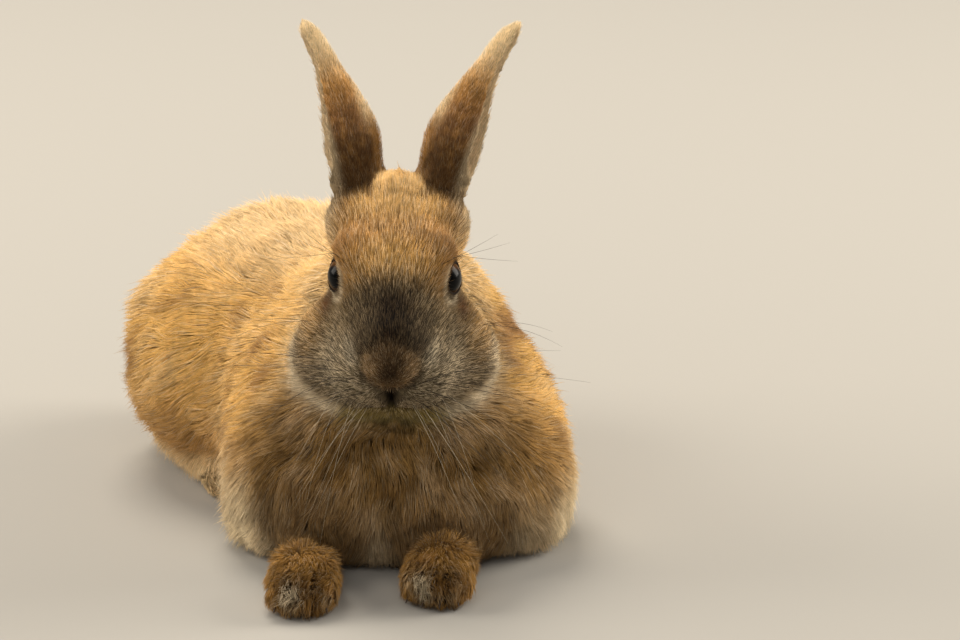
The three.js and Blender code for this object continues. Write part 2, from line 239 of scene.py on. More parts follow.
LIGHTS = {
    # name: (place in metres, size in metres, watts, colour)
    "key": ((-0.4, 1.1, 2.0), 1.2, 40, (1.0, 0.92, 0.80)),
    "left": ((-1.95, 0.25, 1.1), 1.3, 32, (1.0, 0.92, 0.80)),
    "fill": ((-0.35, -2.2, 1.5), 2.2, 18, (1.0, 0.95, 0.88)),
    "right": ((1.8, 0.55, 0.9), 1.2, 37, (1.0, 0.93, 0.82)),
}
for name, (place, size, watts, colour) in LIGHTS.items():
    lamp = bpy.data.lights.new(name, "AREA")
    lamp.size = size
    lamp.energy = watts
    lamp.color = colour
    light = in_scene(name, lamp)
    light.location = place
    light.rotation_euler = (LIT_POINT - Vector(place)).to_track_quat("-Z", "Y").to_euler()

world = bpy.data.worlds.new("studio")
world.use_nodes = True
sky = world.node_tree.nodes["Background"].inputs
sky["Color"].default_value = SKY_COLOUR
sky["Strength"].default_value = SKY_STRENGTH
bpy.context.scene.world = world
bpy.context.scene.view_settings.view_transform = "Standard"
print(len(LIGHTS), "lights")

# %% [markdown]
# The skin is one closed surface over all the flesh, so no seam shows where the solids meet. It could be
# joined with booleans, but the voxel Remesh modifier does it in one step: it wraps the copies, closes the
# thin cuts between them, and gives even faces that smooth well. The eyeballs are wrapped in too, for now:
# that leaves one simple bulge at each eye, which the lids are shaped from.

# %% One mesh over all the flesh
VOXEL = 1.8
EAR_SWELLING = 0.8
FLESH = sorted(name for name in frame["nodes"] if not name.startswith("eye"))
KINDS = ["trunk", "neck", "head", "tail", "ear", "foreleg", "forepaw", "hindleg", "hindfoot"]

flesh_bm = bmesh.new()
owners = []
for name in FLESH + ["eye_left", "eye_right"]:
    before = len(flesh_bm.faces)
    flesh_bm.from_mesh(frame["nodes"][name].data)
    kind = "head" if name.startswith("eye") else name.split("_")[0]
    owners += [KINDS.index(kind)] * (len(flesh_bm.faces) - before)
flesh_bm.faces.ensure_lookup_table()
flesh_tree = BVHTree.FromBMesh(flesh_bm)
ear_kind = KINDS.index("ear")
ear_faces = [face for face, owner in zip(flesh_bm.faces, owners) if owner == ear_kind]
ear_points = {vertex for face in ear_faces for vertex in face.verts}
bmesh.ops.remove_doubles(flesh_bm, verts=flesh_bm.verts, dist=0.01 * MM)
for vertex in ear_points:
    if vertex.is_valid:
        vertex.normal_update()
swollen = [(v, v.normal.copy()) for v in ear_points if v.is_valid]
for vertex, outward in swollen:
    vertex.co += outward * EAR_SWELLING * MM
flesh = in_scene("flesh", mesh_of(flesh_bm, "flesh"))
wrap = flesh.modifiers.new("wrap", "REMESH")
wrap.mode = "VOXEL"
wrap.voxel_size = VOXEL * MM
graph = bpy.context.evaluated_depsgraph_get()
skin_mesh = bpy.data.meshes.new_from_object(flesh.evaluated_get(graph))
skin_mesh.name = "skin"
bpy.data.objects.remove(flesh)
print("skin:", len(skin_mesh.vertices), "vertices,", len(skin_mesh.polygons), "faces")

# %% [markdown]
# Lids, nostrils and lips are too fine for faces of nearly two millimetres. The faces round the eyes and
# on the muzzle are divided twice, those on the toes once, and the rest is left alone, which keeps the
# skin light.

# %% Finer faces where the face and the toes need them
NOSE_AT = in_head(0, -47, -14)
FOREPAWS = {
    # each forepaw's middle at the toes, and its wrist, on the floor
    "left": (np.array([18.0, -8.0]), np.array([25.0, 36.0])),
    "right": (np.array([-37.0, -18.0]), np.array([-35.0, 34.0])),
}
FINE_SPOTS = [
    # places in the maker's frame, and how far round them the faces are divided in each round
    (in_head(EYE_APART / 2, -2, EYE_HEIGHT), (17.0, 13.0)),
    (in_head(-EYE_APART / 2, -2, EYE_HEIGHT), (17.0, 13.0)),
    (NOSE_AT, (27.0, 19.0)),
    (np.array([*FOREPAWS["left"][0], 8]), (17.0, 0.0)),
    (np.array([*FOREPAWS["right"][0], 8]), (17.0, 0.0)),
]

skin_bm = bmesh.new()
skin_bm.from_mesh(skin_mesh)
for fine_round in range(2):
    spots = [(Vector(to_metres(place)), reach[fine_round] * MM) for place, reach in FINE_SPOTS]
    chosen = {
        edge
        for edge in skin_bm.edges
        if any((edge.verts[0].co - place).length < reach for place, reach in spots)
    }
    bmesh.ops.subdivide_edges(skin_bm, edges=list(chosen), cuts=1, use_grid_fill=True)
bmesh.ops.triangulate(skin_bm, faces=skin_bm.faces)
skin_bm.to_mesh(skin_mesh)
skin_bm.free()

count = len(skin_mesh.vertices)
places = np.empty(count * 3, np.float32)
skin_mesh.vertices.foreach_get("co", places)
places = places.reshape(-1, 3).astype(float) / MM - SHIFT
edges = np.empty(len(skin_mesh.edges) * 2, np.int32)
skin_mesh.edges.foreach_get("vertices", edges)
edges = edges.reshape(-1, 2)
corners = np.empty(len(skin_mesh.polygons) * 3, np.int32)
skin_mesh.polygons.foreach_get("vertices", corners)
corners = corners.reshape(-1, 3)
outline_tree = BVHTree.FromPolygons(places.tolist(), corners.tolist())
print("skin with a fine face and fine toes:", count, "vertices,", len(corners), "triangles")

# %% [markdown]
# Each point of the skin learns which part of the body it belongs to, from the nearest solid. Relaxing
# those answers over the mesh turns hard borders into soft ones, so that coat length, lie and colour flow
# from one part into the next.

# %% Smoothing values over the skin, and the parts of the body
valence = np.bincount(edges.ravel(), minlength=count).astype(float)


def neighbour_mean(values):
    """For each point of the skin, the mean of a value over its neighbours."""
    columns = values.reshape(count, -1)
    total = np.zeros_like(columns)
    for column in range(columns.shape[1]):
        for here, there in (edges.T, edges.T[::-1]):
            total[:, column] += np.bincount(here, columns[there, column], minlength=count)
    return (total / valence[:, None]).reshape(values.shape)


def relaxed(values, times):
    for _ in range(times):
        values = (values + neighbour_mean(values)) / 2
    return values


def skin_normals(points):
    """The outward direction of each point of the skin."""
    a, b, c = (points[corners[:, i]] for i in range(3))
    face = np.cross(b - a, c - a)
    total = np.zeros((count, 3))
    for column in range(3):
        for corner in range(3):
            total[:, column] += np.bincount(corners[:, corner], face[:, column], minlength=count)
    return unit(total)


def smoothed(points, times, share):
    """Points smoothed without shrinking: each step in is followed by a slightly longer step out."""
    for _ in range(times):
        for step in (0.5, -0.53):
            points = points + (neighbour_mean(points) - points) * (step * share)[:, None]
    return points


in_metres = to_metres(places)
nearest = np.array([owners[flesh_tree.find_nearest(Vector(point))[2]] for point in in_metres])
belongs = relaxed((nearest[:, None] == np.arange(len(KINDS))).astype(float), 14)
part = {kind: belongs[:, i] for i, kind in enumerate(KINDS)}
print("points by part:", {kind: int(share.sum()) for kind, share in part.items()})

# %% [markdown]
# The solids are faceted, and they reach to the tips of the coat. So the skin is smoothed first, most on
# the body and least on the thin ears and small paws, and then drawn in by the depth of the coat there:
# about a millimetre on the lids and the ears, three to six on the face and the throat, and about 8 on
# the chest.

# %% The depth of the coat, and the skin inside it
FORMS = {
    # part: (depth of the coat in mm, smoothing that keeps the size, broad smoothing that shrinks it)
    "trunk": (7.0, 1.0, 1.0),
    "neck": (7.0, 1.0, 1.0),
    "head": (3.2, 0.8, 0.0),
    "tail": (6.0, 0.8, 0.0),
    "ear": (1.0 + EAR_SWELLING, 0.25, 0.0),
    "foreleg": (7.0, 1.0, 0.8),
    "forepaw": (2.2, 0.45, 0.0),
    "hindleg": (7.5, 1.0, 1.0),
    "hindfoot": (2.2, 0.5, 0.0),
}
BROAD_SMOOTHING = 80
FIRST_SMOOTHING = 30
LAST_SMOOTHING = 6
EAR_SOFTENING = 12
CHEEK_DEPTH = 4.6
THROAT_DEPTH = 6.5
MUZZLE_DEPTH = 1.7
LID_DEPTH = 1.0
CHEST_EXTRA = 2.0
SKIN_FROM_FLOOR = 0.4


def by_part(table):
    """For each column of a table with a row for each part of the body, a value for each point of the skin."""
    return [sum(part[kind] * table[kind][column] for kind in KINDS) for column in range(len(table["head"]))]


eye_centres = {side: in_head(sign * EYE_APART / 2, 0, EYE_HEIGHT) for side, sign in SIDES.items()}


def eye_distance(points):
    return np.min([np.linalg.norm(points - centre, axis=1) for centre in eye_centres.values()], axis=0)


def softened(points, times, share):
    """Points moved halfway to their neighbours' mean, again and again, which rounds and shrinks a shape."""
    for _ in range(times):
        points = points + (neighbour_mean(points) - points) * (0.5 * share)[:, None]
    return points


depth, smoothing, broad_smoothing = by_part(FORMS)
places = softened(places, BROAD_SMOOTHING, broad_smoothing)
places = smoothed(places, FIRST_SMOOTHING, smoothing)
normals = skin_normals(places)
head_places = head_axes(places)
muzzle = smooth(head_places[:, 1], -26, -42)
throat = smooth(head_places[:, 2], -34, -54)
cheek = smooth(head_places[:, 2], -14, -34)
brow_depth = FORMS["head"][0]
head_depth = mix(mix(brow_depth, CHEEK_DEPTH, cheek), THROAT_DEPTH, throat)
head_depth = mix(head_depth, MUZZLE_DEPTH, muzzle * (1 - 0.6 * throat))
depth += part["head"] * (head_depth - brow_depth)
depth = mix(LID_DEPTH, depth, smooth(eye_distance(places), 9.5, 20))
chest = part["trunk"] * smooth(places[:, 1], 40, 10)
depth += CHEST_EXTRA * chest
depth *= mix(1.0, 0.3, smooth(normals[:, 2], -0.3, -0.95) * (places[:, 2] < 12))
depth = relaxed(depth, 8)
edge_on = np.linalg.norm(relaxed(normals, 10), axis=1)
depth *= mix(1.0, smooth(edge_on, 0.35, 0.9), part["ear"])
places = places - normals * depth[:, None]
places = softened(places, EAR_SOFTENING, part["ear"])
places = smoothed(places, LAST_SMOOTHING, smoothing)
places[:, 2] = np.maximum(places[:, 2], SKIN_FROM_FLOOR)
print("coat depth from", depth.min().round(2), "to", depth.max().round(2), "mm")

# %% [markdown]
# A rabbit's eye is a ball that bulges from the side of the head between two thin lids. Sculpting lids by
# hand would take a brush. Here every point near an eye is moved along its line from the eyeball's centre,
# by how far it lies from the middle of the opening: inside the opening the skin dives behind the ball, at
# the margin it rises to a rounded rim on the ball, and beyond that it runs out into the head.

# %% The lids
EYE_FORWARD = math.radians(15)
EYE_UPWARD = math.radians(17)
GAZE_FORWARD = math.radians(32)
GAZE_UPWARD = math.radians(22)
LID_OPENING_LENGTH = 6.3
LID_OPENING_HEIGHT = 5.7
LID_RIM = 0.8
UPPER_LID_EXTRA = 0.35
LID_FOLD = 0.5
FOLD_AT = 1.42
FOLD_WIDTH = 0.12
LID_REACH = 2.2
ROUND_EYE = 17.0
BEHIND_BALL = 1.5


def eye_frame(side, forward=EYE_FORWARD, upward=EYE_UPWARD):
    """Out of the eye, forwards along the head, and up, as three directions in the maker's frame."""
    sign = SIDES[side]
    out = np.array([
        sign * math.cos(forward) * math.cos(upward),
        -math.sin(forward) * math.cos(upward),
        math.sin(upward),
    ])
    up = unit(np.array([0.0, 0.0, 1.0]) - out * out[2])
    front = np.cross(up, out) * sign
    return [HEAD_TURN @ direction for direction in (out, front, up)]


def lid_measure(points, side):
    """Distance from the eyeball's centre, and 0 in the middle of the opening to 1 at the lids' margin."""
    out, front, up = eye_frame(side)
    line = points - eye_centres[side]
    distance = np.linalg.norm(line, axis=1)
    line = unit(line)
    forwards, upwards = line @ front, line @ up
    angle = np.arccos(np.clip(line @ out, -1, 1))
    round_eye = np.arctan2(upwards, forwards)
    radius = 1 / np.hypot(np.cos(round_eye) / LID_OPENING_LENGTH, np.sin(round_eye) / LID_OPENING_HEIGHT)
    margin = np.arcsin(radius / EYE_RADIUS)
    return distance, angle / margin, round_eye


for side in SIDES:
    centre = eye_centres[side]
    distance, opening, round_eye = lid_measure(places, side)
    upper = smooth(np.sin(round_eye), -0.2, 0.8)
    rim = EYE_RADIUS + LID_RIM + UPPER_LID_EXTRA * upper
    dive = mix(EYE_RADIUS - BEHIND_BALL, rim, smooth(opening, 0.93, 1.04))
    fold = LID_FOLD * hump(opening - FOLD_AT, FOLD_WIDTH) * upper
    run_out = smooth(opening, 1.15, 2.0)
    around = np.maximum(distance, EYE_RADIUS + LID_RIM * (1 - smooth(opening, 1.4, 2.1)))
    target = np.where(opening < 1.04, dive, mix(rim, around, run_out)) - fold
    near = (distance < ROUND_EYE) & (opening < LID_REACH)
    share = 1 - smooth(opening, LID_REACH - 0.3, LID_REACH)
    moved = mix(distance, target, share)
    line = unit(places - centre)
    places = np.where(near[:, None], centre + line * moved[:, None], places)
    print(side, "eye: skin points round it", int(near.sum()))

# %% [markdown]
# The nose of a rabbit is a soft wedge with a slit at each side, and from its lower point a cleft runs down
# and splits the upper lip. The slits, the cleft and the mouth are curves on the front of the muzzle, so
# they are pressed in by a formula: the closer a point lies to a curve, the deeper it goes. The whisker
# pads, the nose's wings, the lips, the chin and the cheekbones are raised in the same way, each by a soft
# egg-shaped bump.

# %% Nostrils, cleft and mouth
NOSE_CORNER = -11.5
SLIT_REACH = 11.3
SLIT_LIFT = 5.6
CLEFT_END = -31.0
MOUTH_MIDDLE = -32.0
MOUTH_DROOP = 0.018
MOUTH_REACH = 13.0
LINE_WIDTH = 1.3
SLIT_DEPTH = 2.2
CLEFT_DEPTH = 5.0
MOUTH_DEPTH = 1.4
FACE_BUMPS = {
    # name: (middle and radii in the head's axes, height in mm)
    "whisker pads": ((11, -44, -19), (8, 14, 8), 1.2),
    "nose's wings": ((8, -48, -3.5), (4.5, 12, 4.0), 0.9),
    "lips": ((5, -42, -27), (10, 9, 7), 2.0),
    "chin": ((0, -36, -39), (13, 9, 6), 1.8),
    "cheekbones": ((34, 2, -20), (9, 14, 9), 3.4),
}


def muzzle_lines(x, y, z):
    """How near each point lies to the nostril slits, the cleft and the mouth: 1 on the line, 0 away."""
    facing = smooth(y, -26, -32)
    along = np.clip((x - 1) / (SLIT_REACH - 1), 0, 1)
    slit_height = NOSE_CORNER + SLIT_LIFT * along ** 1.6
    slit_end = smooth(x, SLIT_REACH + 1.5, SLIT_REACH - 1.5)
    slits = hump(z - slit_height, LINE_WIDTH) * slit_end
    cleft_ends = smooth(z, CLEFT_END - 3, CLEFT_END) * smooth(z, NOSE_CORNER + 3, NOSE_CORNER + 1)
    cleft_width = mix(LINE_WIDTH, 3.1, smooth(z, CLEFT_END + 2, NOSE_CORNER - 4))
    cleft = hump(x, cleft_width) * cleft_ends
    mouth_height = MOUTH_MIDDLE - MOUTH_DROOP * x ** 2
    mouth = hump(z - mouth_height, LINE_WIDTH) * smooth(x, MOUTH_REACH + 2, MOUTH_REACH - 6)
    return slits * facing, cleft * facing, mouth * facing


def bump_at(local, middle, radii):
    """1 at the middle of a soft egg in the head's axes, and 0 outside it. Both sides of the head alike."""
    mirrored = np.column_stack([np.abs(local[:, 0]), local[:, 1:]])
    return np.exp(-(((mirrored - middle) / radii) ** 2).sum(axis=1))


def head_measure(points):
    """The head's own axes of many places, and the same one by one, with x alike on both sides."""
    local = head_axes(points)
    return local, np.abs(local[:, 0]), local[:, 1], local[:, 2]


normals = skin_normals(places)
local, lx, ly, lz = head_measure(places)
slits, cleft, mouth = muzzle_lines(lx, ly, lz)
press = SLIT_DEPTH * slits + CLEFT_DEPTH * cleft + MOUTH_DEPTH * mouth
for middle, radii, high in FACE_BUMPS.values():
    press = press - high * bump_at(local, middle, radii)
places = places - normals * (press * part["head"])[:, None]
print("muzzle pressed in by up to", press.max().round(2), "mm")

# %% [markdown]
# Between the ears the forehead ends in a low round edge. Behind it the coat sinks to the ears' dark roots,
# with only a narrow crest of pale fur in the middle, and at the sides fur fills the corner between the ear
# and the temple. Soft bumps and humps shape all of these.

# %% The edge of the forehead and the roots of the ears
EDGE_SINK = 1.5
CREST_SIDE_SINK = 2.0
CREST_TOP_SINK = 1.5
CREST_FOOT_SINK = 1.6
CORNER_FILL = 6.0

crown_part = part["head"] + part["ear"]
behind_edge = hump(ly - 40, 2.5) * smooth(lx, 6, 10) * smooth(lx, 27, 21) * smooth(lz, 0, 6)
beside_crest = bump_at(local, (10.5, 42, 16), (4, 8, 7))
crest_top = bump_at(local, (0, 42, 24), (7, 12, 6))
crest_foot = hump(ly - 33, 2.2) * smooth(lx, 14, 9) * smooth(lz, 6, 11)
sunk = EDGE_SINK * behind_edge + CREST_SIDE_SINK * beside_crest
sunk = sunk + CREST_TOP_SINK * crest_top + CREST_FOOT_SINK * crest_foot
places = places - normals * (sunk * crown_part)[:, None]
ear_corner = bump_at(local, (26, 43, 7), (9, 14, 9)) * crown_part
places = places + (CORNER_FILL * np.sign(local[:, 0]) * ear_corner)[:, None] * HEAD_TURN[:, 0]
print("filled beside the ears by up to", (CORNER_FILL * ear_corner.max()).round(2), "mm")

# %% [markdown]
# A rabbit's forepaw has four toes under one mitten of fur, so only soft clefts between them show. Each
# paw gets a frame of its own on the floor, ahead along the foot and out to its left, and the clefts are
# pressed in at the places where two toes meet.

# %% The clefts between the toes
TOE_WIDTH = 6.5
TOE_GAPS = (-TOE_WIDTH, 0.0, TOE_WIDTH)
GAP_WIDTH = 1.9
GAP_DEPTH = 3.4
BETWEEN_PAWS = -9


def paw_measure(points, side):
    """How far ahead of the paw's middle at the toes each point lies, and how far out to its left."""
    toes, wrist = FOREPAWS[side]
    forward = unit(toes - wrist)
    offset = points[:, :2] - toes
    return offset @ forward, offset @ np.array([-forward[1], forward[0]])


def on_both_paws(values):
    """Values of the two paws as one, each on its own side."""
    return np.where(places[:, 0] > BETWEEN_PAWS, values["left"], values["right"])


paw_ahead = on_both_paws({side: paw_measure(places, side)[0] for side in SIDES})
paw_out = on_both_paws({side: paw_measure(places, side)[1] for side in SIDES})
toe_gap = sum(hump(paw_out - gap, GAP_WIDTH) for gap in TOE_GAPS)
toe_front = part["forepaw"] * smooth(paw_ahead, -13, -5) * smooth(places[:, 2], 19, 14)
places = places - skin_normals(places) * (GAP_DEPTH * toe_gap * toe_front)[:, None]
print("points in the toes' clefts:", int((toe_gap * toe_front > 0.5).sum()))

# %% [markdown]
# A resting rabbit tucks its wrists under its chest, so only the round ends of the paws look out in front.
# The solids run straight back from there, so the skin is lowered behind the toes, which hides the wrists
# behind the paws. The same mask later gives them the chest's fur, combed forwards.

# %% The wrists under the chest
WRIST_SINK = 0.38
behind_paw = smooth(np.abs(paw_out), 26, 17) * smooth(paw_ahead, -19, -27) * smooth(paw_ahead, -66, -50)
at_wrist = (part["trunk"] + part["forepaw"]) * behind_paw * smooth(places[:, 2], 38, 22)
at_wrist = relaxed(at_wrist, 6)
places[:, 2] = places[:, 2] * (1 - WRIST_SINK * at_wrist)
print("lowered at the wrists:", int((at_wrist > 0.5).sum()), "points")

# %% [markdown]
# The finished skin goes back into Blender as one mesh. It gets an unwrap of its own shape, named OFBake:
# later each tuft of fur takes its place on that map from the spot where it is rooted, so the colours of
# skin and coat agree wherever the model is used.

# %% The skin as a piece
normals = skin_normals(places)
skin_mesh.vertices.foreach_set("co", to_metres(places).astype(np.float32).ravel())
skin_mesh.polygons.foreach_set("use_smooth", np.ones(len(corners), bool))
skin_mesh.update()
skin = in_scene("skin", skin_mesh)
bpy.context.view_layer.objects.active = skin
skin.select_set(True)
skin_mesh.uv_layers.new(name="OFBake")
bpy.ops.object.mode_set(mode="EDIT")
bpy.ops.mesh.select_all(action="SELECT")
bpy.ops.uv.smart_project(angle_limit=math.radians(66), island_margin=0.002)
bpy.ops.object.mode_set(mode="OBJECT")
skin_uv = np.empty(len(corners) * 6, np.float32)
skin_mesh.uv_layers["OFBake"].data.foreach_get("uv", skin_uv)
skin_uv = skin_uv.reshape(-1, 3, 2)
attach(skin, "root")
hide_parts(*FLESH)
print("skin unwrapped:", skin_uv.min(axis=(0, 1)).round(3), "to", skin_uv.max(axis=(0, 1)).round(3))

# %% [markdown]
# On the body, places are told along the backbone, which bends to the rabbit's right. A smooth curve
# through a few of its points gives, for every point of the skin, how far back it lies, how far out to
# the left, and which way "backwards" is there.

# %% Places along the backbone
BACKBONE = np.array([[4, 40], [1, 90], [-20, 148], [-54, 203], [-90, 256]], float)
BACKBONE_STEPS = 90

bend = np.polynomial.Polynomial.fit(BACKBONE[:, 1], BACKBONE[:, 0], 3)
spine_y = np.linspace(BACKBONE[0, 1], BACKBONE[-1, 1], BACKBONE_STEPS)
spine = np.column_stack([bend(spine_y), spine_y])
spine_back = unit(np.gradient(spine, axis=0))
spine_along = np.concatenate([[0], np.cumsum(np.linalg.norm(np.diff(spine, axis=0), axis=1))])
step = ((places[:, None, :2] - spine) ** 2).sum(axis=2).argmin(axis=1)
flat_back = spine_back[step]
flat_left = np.column_stack([flat_back[:, 1], -flat_back[:, 0]])
offset = places[:, :2] - spine[step]
along = spine_along[step] + (offset * flat_back).sum(axis=1)
out = (offset * flat_left).sum(axis=1)
height = places[:, 2]
backward = np.column_stack([flat_back, np.zeros(count)])
leftward = np.column_stack([flat_left, np.zeros(count)])
print("backbone", spine_along[-1].round(1), "mm long")

# %% [markdown]
# Every hair on an animal lies a certain way: from the nose back over the head, from the spine back and
# down the flanks, straight down on the chest, to the tips of the ears and the toes. A groomer in a
# sculpting program combs guides by hand. Here each part of the body states its lie, the answers are
# blended by the soft borders of the parts, and a relaxation makes one continuous flow of them.

# %% The lie of the coat
DOWN = np.array([0.0, 0.0, -1.0])
local, lx, ly, lz = head_measure(places)

# The cheeks and the chin hang over the chest: what lies above the jaw's lower edge wears the head's coat.
jaw_line = lz + 0.25 * (ly + 40)
under_cheeks = smooth(jaw_line, -46.5, -43) * smooth(ly, 4, -6) * smooth(lx, 45, 41)
head_zone = np.maximum(part["head"], under_cheeks)
others = (1 - head_zone) / np.maximum(1 - part["head"], 1e-6)
part = {kind: head_zone if kind == "head" else weights * others for kind, weights in part.items()}

# The chest's long fur hangs over the wrists, so behind the toes the paws wear the chest's coat.
under_chest = part["forepaw"] * smooth(paw_ahead, -20, -30)
part["trunk"] = part["trunk"] + under_chest
part["forepaw"] = part["forepaw"] - under_chest
EAR_ROOTS = {"left": in_head(16.5, 36, -3), "right": in_head(-17, 36, -3)}


def ear_tip(side):
    """The highest point of an ear's solid."""
    mesh = frame["nodes"][f"ear_{side}"].data
    points = np.array([vertex.co for vertex in mesh.vertices], float)
    return points[points[:, 2].argmax()] / MM - SHIFT


ear_tips = {side: ear_tip(side) for side in SIDES}
on_left_ear = places[:, 0] > HEAD_AT[0]
ear_root = np.where(on_left_ear[:, None], EAR_ROOTS["left"], EAR_ROOTS["right"])
ear_rise = np.where(on_left_ear[:, None], ear_tips["left"], ear_tips["right"]) - ear_root
ear_length = np.linalg.norm(ear_rise, axis=1)
up_ear = unit(ear_rise)
along_ear = ((places - ear_root) * up_ear).sum(axis=1) / ear_length


def leaning(lie, share, way):
    """A lie of the coat that leans over to another way, by a share for each point."""
    return lie + share[:, None] * way


head_side = np.sign(local[:, 0])
from_nose = unit(local - np.array([0, -52, -11.5]))
cheek_side = smooth(lx, 8, 30) * smooth(lz, 4, -26)
by_cleft = hump(lx, 4) * smooth(lz, -11, -15) * smooth(ly, -34, -40)
on_crest = bump_at(local, (0, 40, 20), (8, 14, 14)) * part["head"]
head_lie = from_nose + np.array([0, 0.7, 0.1])
head_lie = leaning(head_lie, 0.5 * cheek_side * head_side, (1, 0, 0))
head_lie = leaning(head_lie, 0.5 * cheek_side, (0, 0, -1))
head_lie = leaning(head_lie, smooth(lz, -26, -44), (0, 0.4, -0.9))
head_lie = leaning(head_lie, 1.6 * by_cleft * head_side, (1, 0, 0))
head_lie = leaning(head_lie, 0.4 * on_crest, (0, 0, 1))

flank = np.abs((normals * leftward).sum(axis=1))
outward = leftward * np.clip(out / 40, -1, 1)[:, None]
in_front = smooth(along, 34, -2)
body_lie = backward * (1 - 0.45 * flank)[:, None] + DOWN * (0.1 + 0.5 * flank)[:, None]
chest_lie = DOWN + 0.22 * outward
body_lie = mix(body_lie, chest_lie, in_front)
body_lie = mix(body_lie, 0.8 * DOWN + np.array([0, -0.8, 0]), at_wrist)

LIES = {
    "trunk": body_lie,
    "neck": mix(body_lie, backward + 0.9 * DOWN + 0.3 * outward, 0.6),
    "head": head_lie @ HEAD_TURN.T,
    "tail": 0.3 * backward - 0.9 * DOWN,
    "ear": up_ear,
    "foreleg": 0.45 * backward + 0.9 * DOWN + 0.35 * outward,
    "forepaw": np.array([0, -1.0, -0.45]) + 0 * places,
    "hindleg": backward + 0.55 * DOWN,
    "hindfoot": -backward + 0.2 * DOWN,
}
comb = sum(part[kind][:, None] * unit(lie) for kind, lie in LIES.items())
comb = unit(comb - normals * (comb * normals).sum(axis=1)[:, None])
comb = relaxed(comb, 14)
lid_opening = np.full(count, 9.0)
for side in SIDES:
    distance, opening, _ = lid_measure(places, side)
    near_eye = distance < 18
    lid_opening = np.where(near_eye, np.minimum(lid_opening, opening), lid_opening)
    from_eye = unit(places - eye_centres[side])
    inward = np.minimum((comb * from_eye).sum(axis=1), 0)
    comb = comb - from_eye * (inward * (1 - smooth(opening, 1.3, 2.2)) * near_eye)[:, None]
comb = unit(comb - normals * (comb * normals).sum(axis=1)[:, None])
print("the coat is combed")

# %% [markdown]
# The coat is agouti: each hair is banded, so the fur reads as a fine mix of gold, brown and cream. The
# markings are soft patches in places that every such rabbit has: a sooty bridge to the nose, pale rings
# at the eyes, a pale chin and belly, dark roots to the ears. They are worked out once for each point of
# the skin and stored there, and every tuft takes its colours from the values at its root and below its
# tip. A painter would lay glazes over each other, and so does this: each part starts from one colour, and
# others are laid over it where their shares say.

# %% Laying colours over each other
GOLD = paint("#ebb96a")
FAWN = paint("#d2a15d")
UMBER = paint("#8a613a")
STRAW = paint("#f0cd98")
GREIGE = paint("#cdbb9c")
SOOTY_DARK_AND_PAINTED_SHADE = paint("#221306")


def layered(base, *layers):
    """Colours laid over each other, each with a share for each point."""
    base = np.broadcast_to(base, places.shape)
    for colour, share in layers:
        base = mix(base, np.broadcast_to(colour, base.shape), np.clip(share, 0, 1))
    return base


def patchy(size, seed, low, high):
    """Soft patches: 0 to 1."""
    return smooth(cloud(places, size, seed), low, high)


clump_folds = cloud(np.column_stack([along, 0.4 * height, 0.4 * out]), 8, 43)
clumps = mix(0.6 * cloud(places, 13, 41) + 0.8 * clump_folds, cloud(places, 7, 44), in_front)
# Painted shade: how far each point lies in a parting between clumps, where the colour is darkened for the
# darker underfur and for the shade there.
parting = smooth(-clumps, mix(0.08, 0.0, in_front), 0.5)
print("share of the skin in partings:", (parting > 0.5).mean().round(2))

# %% [markdown]
# The body is gold along the back and fawn below. Between the clumps of its fur the partings are darker, for
# the darker underfur and as painted shade. They are darkened least on the round of the haunch, which stands
# in the light, so there the painted shade is faded as painted light. The tops of the clumps get a painted
# highlight, the top of the rump is painted paler as painted light, and the back of the haunch gets painted
# shade. The chest is browner, partly as painted shade on a front turned from the light, with painted shade in
# its partings and over the wrists and painted highlights on its locks. It is paler at its foot, and the
# elbows are cream where they meet the floor.

# %% The body's markings
# The chest's browns are darkened partly as painted shade on a front turned from the light.
CHEST = paint("#92703f")
CHEST_SHADE = paint("#644823")
CHEST_LOCK_HIGHLIGHT = paint("#b99a74")
ELBOW_CREAM = paint("#eed8b0")

# Painted light: the round of the haunch, where the light falls, loses most of the painted shade in the
# partings.
haunch_light = hump(along - 132, 28) * hump(height - 60, 17)
low_flank = smooth(height, 26, 44)
body_mark = layered(
    FAWN,
    (GOLD, smooth(height, 26, 62)),
    # painted shade in the partings, with the darker underfur, faded on the lit haunch
    (UMBER, 0.88 * parting * (1 - haunch_light) * smooth(height, 118, 84) * low_flank),
    # painted shade on the back of the haunch
    (UMBER, 0.2 * smooth(along, 160, 185) * smooth(height, 88, 62)),
    (UMBER, 0.15 * patchy(26, 3, 0.1, 0.7) * smooth(height, 112, 76)),
    # painted highlight on the tops of the clumps
    (STRAW, 0.45 * smooth(clumps, 0.05, 0.5) * smooth(height, 108, 78) * low_flank),
    # painted light on the top of the rump
    (STRAW, 0.9 * smooth(height, 86, 106) * smooth(along, 60, 130)),
    (UMBER, 0.35 * smooth(height, 40, 22) * smooth(height, 6, 18)),
    (GREIGE, 0.8 * smooth(height, 20, 6)),
)
chest_mark = layered(
    CHEST,
    # painted shade in the chest's partings
    (CHEST_SHADE, 0.6 * parting),
    # painted highlight on the tops of the chest's locks
    (CHEST_LOCK_HIGHLIGHT, 0.6 * smooth(clumps, 0.0, 0.5)),
    (FAWN, 0.45 * smooth(out, 34, 60)),
    (FAWN, 0.30 * smooth(out, -50, -66)),
    (GREIGE, 0.62 * smooth(height, 38, 10) * (1 - at_wrist)),
    # painted shade over the wrists, under the hanging chest fur
    (CHEST_SHADE, 0.7 * at_wrist),
)
body_mark = mix(body_mark, chest_mark, smooth(along, 48, 14))
elbow_edge = height + 12 * cloud(places, 12, 15)
elbow_mark = layered(body_mark, (ELBOW_CREAM, 0.8 * smooth(elbow_edge, 52, 12)))
print("mean colour of the body:", body_mark.mean(axis=0).round(3))

